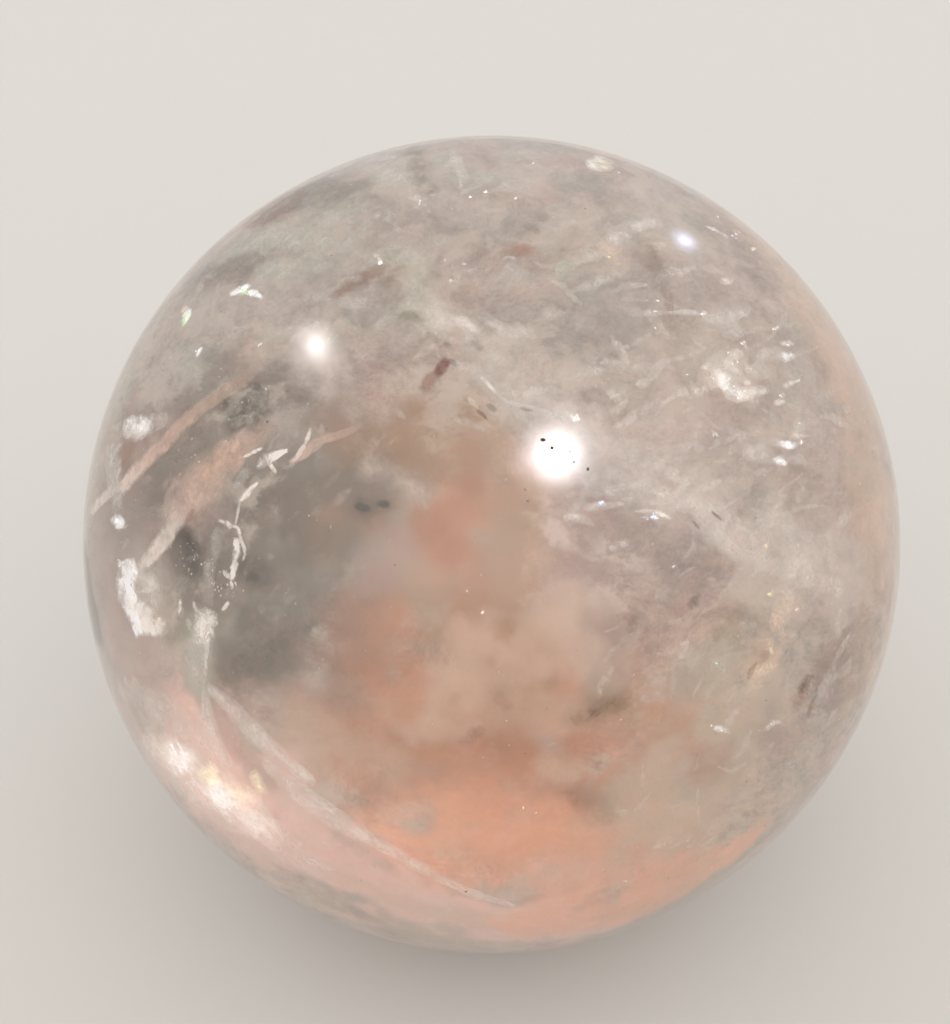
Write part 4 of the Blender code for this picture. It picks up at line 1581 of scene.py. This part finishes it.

# Small cracks that catch the light like tinfoil. Their glints are painted: each chip glows in its own tint,
# with a soft halo
glints = {
    "depth": 0.014,
    "depthSpread": 0.001,
    "spreads": (0.6, 0.4),  # across and down, as shares of a row's own spread
    "sizes": (0.5, 1.4),  # as shares of a row's own size
    "tumble": 0.25,
    "glow": 0.6,
    "halo": 0.8,
    "placeSeed": 4,
    "seed": 5,
    # pixel, how far they spread in pixels, how many, their size in pixels, tint
    "rows": [
        (618, 172, 1.5, 3, 1.24, "spark"), (533, 163, 2, 5, 1.36, "spark"),
        (717, 217, 1.5, 5, 1.49, "spark"), (714, 229, 3, 6, 1.24, "spark"), (736, 234, 3, 10, 1.86, "ice"),
        (753, 249, 1.5, 3, 0.99, "spark"), (609, 257, 1.5, 5, 1.36, "yellow"),
        (655, 312, 1.5, 3, 1.12, "spark"), (655, 328, 1.5, 3, 1.3, "spark"),
        (658, 301, 1.5, 3, 0.99, "spark"), (687, 375, 1.5, 3, 1.24, "spark"),
        (727, 281, 4, 3, 1.4, "rose"), (702, 314, 1.5, 5, 1.36, "spark"),
        (776, 328, 3, 5, 1.3, "candle"), (744, 343, 2, 5, 1.24, "spark"), (788, 345, 3, 3, 1.36, "spark"),
        (781, 396, 2, 6, 1.24, "rose"), (802, 442, 2, 6, 1.24, "spark"), (799, 423, 1.5, 3, 0.99, "spark"),
        (714, 434, 1.5, 3, 1.12, "spark"), (740, 392, 7, 5, 1.49, "spark"), (729, 352, 2, 5, 0.99, "spark"),
        (735, 362, 3, 6, 1.12, "spark"), (749, 369, 4, 8, 1.12, "rose"), (486, 192, 2, 8, 1.61, "spark"),
        (470, 197, 1.5, 3, 1.12, "spark"), (516, 197, 3, 6, 0.99, "spark"), (418, 200, 4, 8, 1.12, "spark"),
        (381, 262, 2, 8, 1.74, "spark"), (445, 260, 1.5, 3, 1.12, "spark"), (464, 264, 2, 5, 0.99, "spark"),
        (451, 281, 2, 5, 0.99, "spark"), (244, 290, 4, 12, 1.61, "leaf"), (252, 294, 5, 8, 1.24, "spark"),
        (187, 316, 3, 14, 1.86, "leaf"), (184, 312, 2, 5, 1.49, "rose"), (198, 351, 2, 6, 1.36, "spark"),
        (259, 344, 2, 5, 1.36, "spark"), (653, 518, 6, 10, 1.49, "ice"), (601, 503, 2, 6, 1.61, "ice"),
        (576, 419, 4, 10, 1.49, "spark"), (138, 427, 7, 15, 1.12, "spark"),
        (118, 521, 5, 15, 1.05, "spark"), (765, 546, 2, 6, 1.24, "yellow"),
        (770, 594, 2, 5, 1.36, "yellow"), (797, 609, 1.5, 5, 1.36, "rose"), (673, 567, 2, 6, 1.12, "rose"),
        (717, 663, 1.5, 5, 1.12, "spark"), (719, 728, 6, 4, 1.49, "spark"), (774, 724, 5, 4, 1.36, "spark"),
        (222, 574, 18, 11, 1.1, "milk"), (246, 404, 30, 10, 0.99, "milk"), (190, 446, 36, 18, 0.99, "milk"),
        (188, 556, 22, 13, 0.99, "milk"), (200, 376, 30, 17, 0.99, "milk"), (210, 370, 12, 11, 1.1, "milk"),
        (246, 402, 8, 4, 1.1, "milk"), (265, 385, 5, 4, 1.2, "milk"), (192, 566, 14, 11, 1.1, "milk"),
        (228, 590, 9, 18, 1.4, "milk"), (218, 585, 8, 8, 1.1, "milk"), (241, 292, 5, 8, 1.3, "spark"),
        (723, 380, 9, 8, 1.4, "spark"), (742, 394, 8, 4, 1.3, "spark"), (482, 612, 2, 2, 1.4, "rose"),
        (523, 808, 2, 3, 1.4, "candle"), (537, 812, 3, 3, 1.4, "candle"), (625, 881, 2, 3, 1.4, "snow"),
    ],
}

# Pits in the polish: pixel and size in pixels. Each is painted shade: a dark chip just outside the surface,
# standing in for the pit's missing reflection
pits = {
    "rows": [
        (543, 440, 1.9), (552, 448, 3.6), (570, 452, 0.9), (572, 457, 1.5), (574, 462, 0.9), (588, 469, 2.2),
    ],
    "tint": "smokeDark",
    "lift": 1.0004,  # how far out they lie, in radii of the stone
    "seed": 9,
}


# Chips turned at random on the faces of a mesh, or one at each point of it
def chipTree(name, onFaces):
    tree, given, result = newShapeTree(name, [
        ("Geometry", "NodeSocketGeometry", None),
        ("Density", "NodeSocketFloat", 0.0),
        ("Smallest", "NodeSocketFloat", 1.0),
        ("Largest", "NodeSocketFloat", 1.0),
        ("Tumble", "NodeSocketFloat", 1.0),
        ("Seed", "NodeSocketInt", 0),
        ("Material", "NodeSocketMaterial", None),
    ])
    points = given["Geometry"]
    if onFaces:
        spread = addNode(tree, "GeometryNodeDistributePointsOnFaces", {
            "Mesh": points,
            "Density": given["Density"],
            "Seed": given["Seed"],
        })
        points = spread.outputs["Points"]
    place = addNode(tree, "GeometryNodeInputPosition")
    outward = addNode(tree, "ShaderNodeVectorMath", {0: place, 1: tuple(centre)}, operation="SUBTRACT")
    flat = addNode(tree, "FunctionNodeAlignRotationToVector", {"Vector": outward}, axis="Z")
    tumble = addNode(tree, "ShaderNodeMath", {0: given["Tumble"], 1: math.pi}, operation="MULTIPLY")
    least = addNode(tree, "ShaderNodeMath", {0: tumble, 1: -1.0}, operation="MULTIPLY")
    turn = addNode(tree, "FunctionNodeRandomValue", {
        0: least,
        1: tumble,
        "Seed": given["Seed"],
    }, data_type="FLOAT_VECTOR")
    turned = addNode(tree, "FunctionNodeRotateRotation", {
        "Rotation": flat,
        "Rotate By": turn,
    }, rotation_space="LOCAL")
    size = addNode(tree, "FunctionNodeRandomValue", {
        2: given["Smallest"],
        3: given["Largest"],
        "Seed": given["Seed"],
    }, data_type="FLOAT")
    uneven = addNode(tree, "FunctionNodeRandomValue", {
        0: chipStretch[0],
        1: chipStretch[1],
        "Seed": given["Seed"],
    }, data_type="FLOAT_VECTOR")
    own = addNode(tree, "GeometryNodeInputNamedAttribute", {"Name": "size"}, data_type="FLOAT")
    scaled = addNode(tree, "ShaderNodeMath", {0: size.outputs[1], 1: own}, operation="MULTIPLY")
    used = size.outputs[1] if onFaces else scaled.outputs[0]
    scale = addNode(tree, "ShaderNodeVectorMath", {0: uneven, "Scale": used}, operation="SCALE")
    disc = addNode(tree, "GeometryNodeMeshCircle", {
        "Vertices": chipSides,
        "Radius": 1.0,
    }, fill_type="TRIANGLE_FAN")
    out = addNode(tree, "ShaderNodeVectorMath", {0: place}, operation="LENGTH")
    middle = addNode(tree, "ShaderNodeMath", {0: 1.0, 1: out.outputs["Value"]}, operation="SUBTRACT")
    chip = addNode(tree, "GeometryNodeStoreNamedAttribute", {
        "Geometry": disc,
        "Name": "middle",
        "Value": middle,
    }, data_type="FLOAT", domain="POINT")
    placed = addNode(tree, "GeometryNodeInstanceOnPoints", {
        "Points": points,
        "Instance": chip,
        "Rotation": turned,
        "Scale": scale,
    })
    whole = addNode(tree, "GeometryNodeRealizeInstances", {"Geometry": placed})
    return finishTree(tree, whole, given, result)


# Broken quartz, rough as ground glass, which scatters nearly all light as white. A crack that mirrors a lamp
# gets a glow of its own, because a lamp's mirror image in so small a face is a point of light
def chipMaterial(name, glow, halo=0.0, dense=1.0):
    material, tree, shader, output = newMaterial(name, {
        "Roughness": 0.7,
        "Specular IOR Level": 0.0,
        "Alpha": dense,
    })
    tone = addNode(tree, "ShaderNodeAttribute", attribute_name="tone", attribute_type="GEOMETRY")
    tree.links.new(tone.outputs["Color"], shader.inputs["Base Color"])
    if halo:  # a light fades out round its middle, as it does in a lens
        middle = addNode(tree, "ShaderNodeAttribute", attribute_name="middle", attribute_type="GEOMETRY")
        cover = addNode(tree, "ShaderNodeMapRange", {
            "Value": middle.outputs["Fac"],
            "From Max": halo,
            "To Max": dense,
        }, interpolation_type="SMOOTHSTEP")
        tree.links.new(cover.outputs[0], shader.inputs["Alpha"])
    addGlow(material, shader, tone.outputs["Color"], glow)
    return material


def pointMesh(name, points):
    mesh = bpy.data.meshes.new(name)
    places, sizes, tones = zip(*points)
    mesh.from_pydata(places, [], [])
    storeOnPoints(mesh, "tone", [linearColour(tints[tint]) for tint in tones])
    storeOnPoints(mesh, "size", sizes)
    return mesh


# How wide a pixel is on the stone
pixel = stoneRadius / photo["ballRadius"]


def chipsAt(name, points, tumble, material, seed):
    smallest, largest = chipShares
    chips = shapeFromTree(name, chipTree(name + " tree", False), {
        "Smallest": smallest,
        "Largest": largest,
        "Tumble": tumble,
        "Seed": seed,
        "Material": material,
    }, pointMesh(name + "Points", points))
    insideTheStone(chips)


def makeFrostChips():
    smallest, largest = frostChips["sizes"]
    chips = shapeFromTree("frostChips", chipTree("chips on a sheet", True), {
        "Density": frostChips["density"],
        "Smallest": smallest * mm,
        "Largest": largest * mm,
        "Tumble": frostChips["tumble"],
        "Seed": frostChips["seed"],
        "Material": chipMaterial("frostChip", frostChips["glow"], dense=frostChips["dense"]),
    }, sheetPieces["frostedCracks"].data.copy())
    insideTheStone(chips)


def makeGlints():
    pick = random.Random(glints["placeSeed"])
    acrossSpread, downSpread = glints["spreads"]
    points = []
    for x, y, spread, count, size, tint in glints["rows"]:
        for number in range(count):
            aside = (x + pick.gauss(0, spread * acrossSpread), y + pick.gauss(0, spread * downSpread))
            deeper = pick.uniform(-glints["depthSpread"], glints["depthSpread"])
            near = insideStone(*aside, glints["depth"] + deeper)
            points.append((near, size * pixel * pick.uniform(*glints["sizes"]), tint))
    material = chipMaterial("glintingCrack", glints["glow"], halo=glints["halo"])
    chipsAt("glintingCracks", points, glints["tumble"], material, glints["seed"])


def makeStrays():
    pick = random.Random(strays["placeSeed"])
    points = []
    for number in range(strays["count"]):
        away = Vector((pick.gauss(0, 1), pick.gauss(0, 1), pick.gauss(0, 1))).normalized()
        place = centre + away * stoneRadius * pick.uniform(*strays["shares"])
        size = pick.uniform(*strays["sizes"]) * mm
        points.append((place, size, pick.choice(strays["tints"])))
    chipsAt("strayChips", points, strays["tumble"], chipMaterial("strayChip", 0.0), strays["seed"])


def makePits():
    points = []
    for x, y, size in pits["rows"]:
        entry, bent = rayInStone(x, y)
        points.append((centre + (entry - centre) * pits["lift"], size * pixel, pits["tint"]))
    chipsAt("polishPits", points, 0.0, chipMaterial("polishPit", 0.0), pits["seed"])


def makeFlakes():
    makeFrostChips()
    makeGlints()
    makeStrays()
    makePits()


makeFlakes()
print("flakes made")

# Floor, sky and lamps. Lamps give the round lights on the polish, and light nothing else
studio = {
    "floor": "#C2BFBA",
    "floorHalf": 3.0,  # metres
    "sky": "#E6E4E3",
    "horizonStrength": 0.85,
    "zenithStrength": 1.3,
    "fullFrom": 0.45,  # how high a direction points where the sky reaches its full strength
    "glowTowards": (0.05, -0.9, 0.4),
    "glowSharpness": 3.0,
    "glowStrength": 2.6,
    "lamps": [
        # pixel of the light on the polish, its half sizes there (along the slope and across it), how bright
        # it is, and how fast it fades outwards
        {
            "name": "lampMiddle", "x": 557, "y": 455, "sizes": (65, 65),
            "radiance": 80.0, "fade": 4.55, "colour": "#FFFBFD",
        },
        {
            "name": "lampLeft", "x": 316, "y": 345, "sizes": (48, 48),
            "radiance": 22.0, "fade": 3.6, "colour": "#FFFDFB",
        },
        {
            "name": "lampRight", "x": 685, "y": 241, "sizes": (13, 30),
            "radiance": 13.0, "fade": 2.4, "colour": "#D4DEFF",
        },
    ],
    "lampDistance": 1.0,
    "lampSides": 48,
    "bounces": 32,
}


def makeFloor():
    half = studio["floorHalf"]
    mesh = bpy.data.meshes.new("floor")
    corners = [(-half, -half, 0), (half, -half, 0), (half, half, 0), (-half, half, 0)]
    mesh.from_pydata(corners, [], [(0, 1, 2, 3)])
    floor = placeObject("floor", mesh)
    material, tree, shader, output = newMaterial("floorPaper", {
        "Base Color": linearColour(studio["floor"]),
        "Roughness": 0.8,
        "Specular IOR Level": 0.2,
    })
    mesh.materials.append(material)


# A plain pale sky, as bright as the floor at the horizon, with one wide soft glow like a big diffuser
def makeSky():
    world = bpy.data.worlds.new("sky")
    world.use_nodes = True
    tree = world.node_tree
    background = tree.nodes["Background"]
    place = addNode(tree, "ShaderNodeTexCoord")
    up = addNode(tree, "ShaderNodeSeparateXYZ", {0: place.outputs["Generated"]})
    risen = addNode(tree, "ShaderNodeMapRange", {
        "Value": up.outputs["Z"],
        "From Min": 0.0,
        "From Max": studio["fullFrom"],
    }, interpolation_type="SMOOTHSTEP")
    towards = Vector(studio["glowTowards"]).normalized()
    facing = addNode(tree, "ShaderNodeVectorMath", {
        0: place.outputs["Generated"],
        1: towards,
    }, operation="DOT_PRODUCT")
    above = addNode(tree, "ShaderNodeMath", {0: facing.outputs["Value"], 1: 0.0}, operation="MAXIMUM")
    glow = addNode(tree, "ShaderNodeMath", {0: above, 1: studio["glowSharpness"]}, operation="POWER")
    added = addNode(tree, "ShaderNodeMath", {
        0: glow,
        1: studio["glowStrength"],
        2: studio["zenithStrength"] - studio["horizonStrength"],
    }, operation="MULTIPLY_ADD")
    strength = addNode(tree, "ShaderNodeMath", {
        0: added,
        1: risen,
        2: studio["horizonStrength"],
    }, operation="MULTIPLY_ADD")
    background.inputs["Color"].default_value = linearColour(studio["sky"])
    tree.links.new(strength.outputs[0], background.inputs["Strength"])
    world.cycles.sampling_method = "NONE"
    bpy.context.scene.world = world


# A round lamp that only the polish mirrors: bright in the middle, and fading outwards like a glow
def makeLamp(lamp):
    eye = cameraPlace.translation
    entry, bent = rayInStone(lamp["x"], lamp["y"])
    normal = (entry - centre).normalized()
    seen = (entry - eye).normalized()
    mirrored = seen - normal * 2 * seen.dot(normal)
    # a step on the ball turns the mirrored ray by twice its angle, more along the slope and less across it
    slope = -seen.dot(normal)
    across = mirrored.cross(normal).normalized()
    along = across.cross(mirrored)
    turns = [2 * size / photo["ballRadius"] for size in lamp["sizes"]]
    sizeAlong = studio["lampDistance"] * math.tan(turns[0] / slope)
    sizeAcross = studio["lampDistance"] * math.tan(turns[1] * slope)
    shape = bmesh.new()
    bmesh.ops.create_circle(shape, cap_ends=True, segments=studio["lampSides"], radius=1)
    mesh = bpy.data.meshes.new(lamp["name"])
    shape.to_mesh(mesh)
    shape.free()
    card = placeObject(lamp["name"], mesh)
    facing = Matrix((along * sizeAlong, across * sizeAcross, mirrored)).transposed().to_4x4()
    card.matrix_world = Matrix.Translation(entry + mirrored * studio["lampDistance"]) @ facing
    material, tree, shader, output = newMaterial(lamp["name"], {
        "Base Color": (0, 0, 0, 1),
        "Specular IOR Level": 0.0,
        "Emission Color": linearColour(lamp["colour"]),
        "Emission Strength": lamp["radiance"],
    })
    place = addNode(tree, "ShaderNodeTexCoord")
    away = addNode(tree, "ShaderNodeVectorMath", {0: place.outputs["Object"]}, operation="LENGTH")
    inner = addNode(tree, "ShaderNodeMath", {0: 1.0, 1: away.outputs["Value"]}, operation="SUBTRACT")
    left = addNode(tree, "ShaderNodeMath", {0: inner, 1: 0.0}, operation="MAXIMUM")
    cover = addNode(tree, "ShaderNodeMath", {0: left, 1: lamp["fade"]}, operation="POWER")
    tree.links.new(cover.outputs[0], shader.inputs["Alpha"])
    material.cycles.emission_sampling = "NONE"
    mesh.materials.append(material)
    card.visible_camera = False
    card.visible_diffuse = False
    card.visible_transmission = False
    card.visible_shadow = False


def makeStudio():
    makeFloor()
    makeSky()
    for lamp in studio["lamps"]:
        makeLamp(lamp)
    scene = bpy.context.scene
    scene.view_settings.view_transform = "Standard"
    scene.cycles.transparent_max_bounces = studio["bounces"]


makeStudio()
print("studio made")
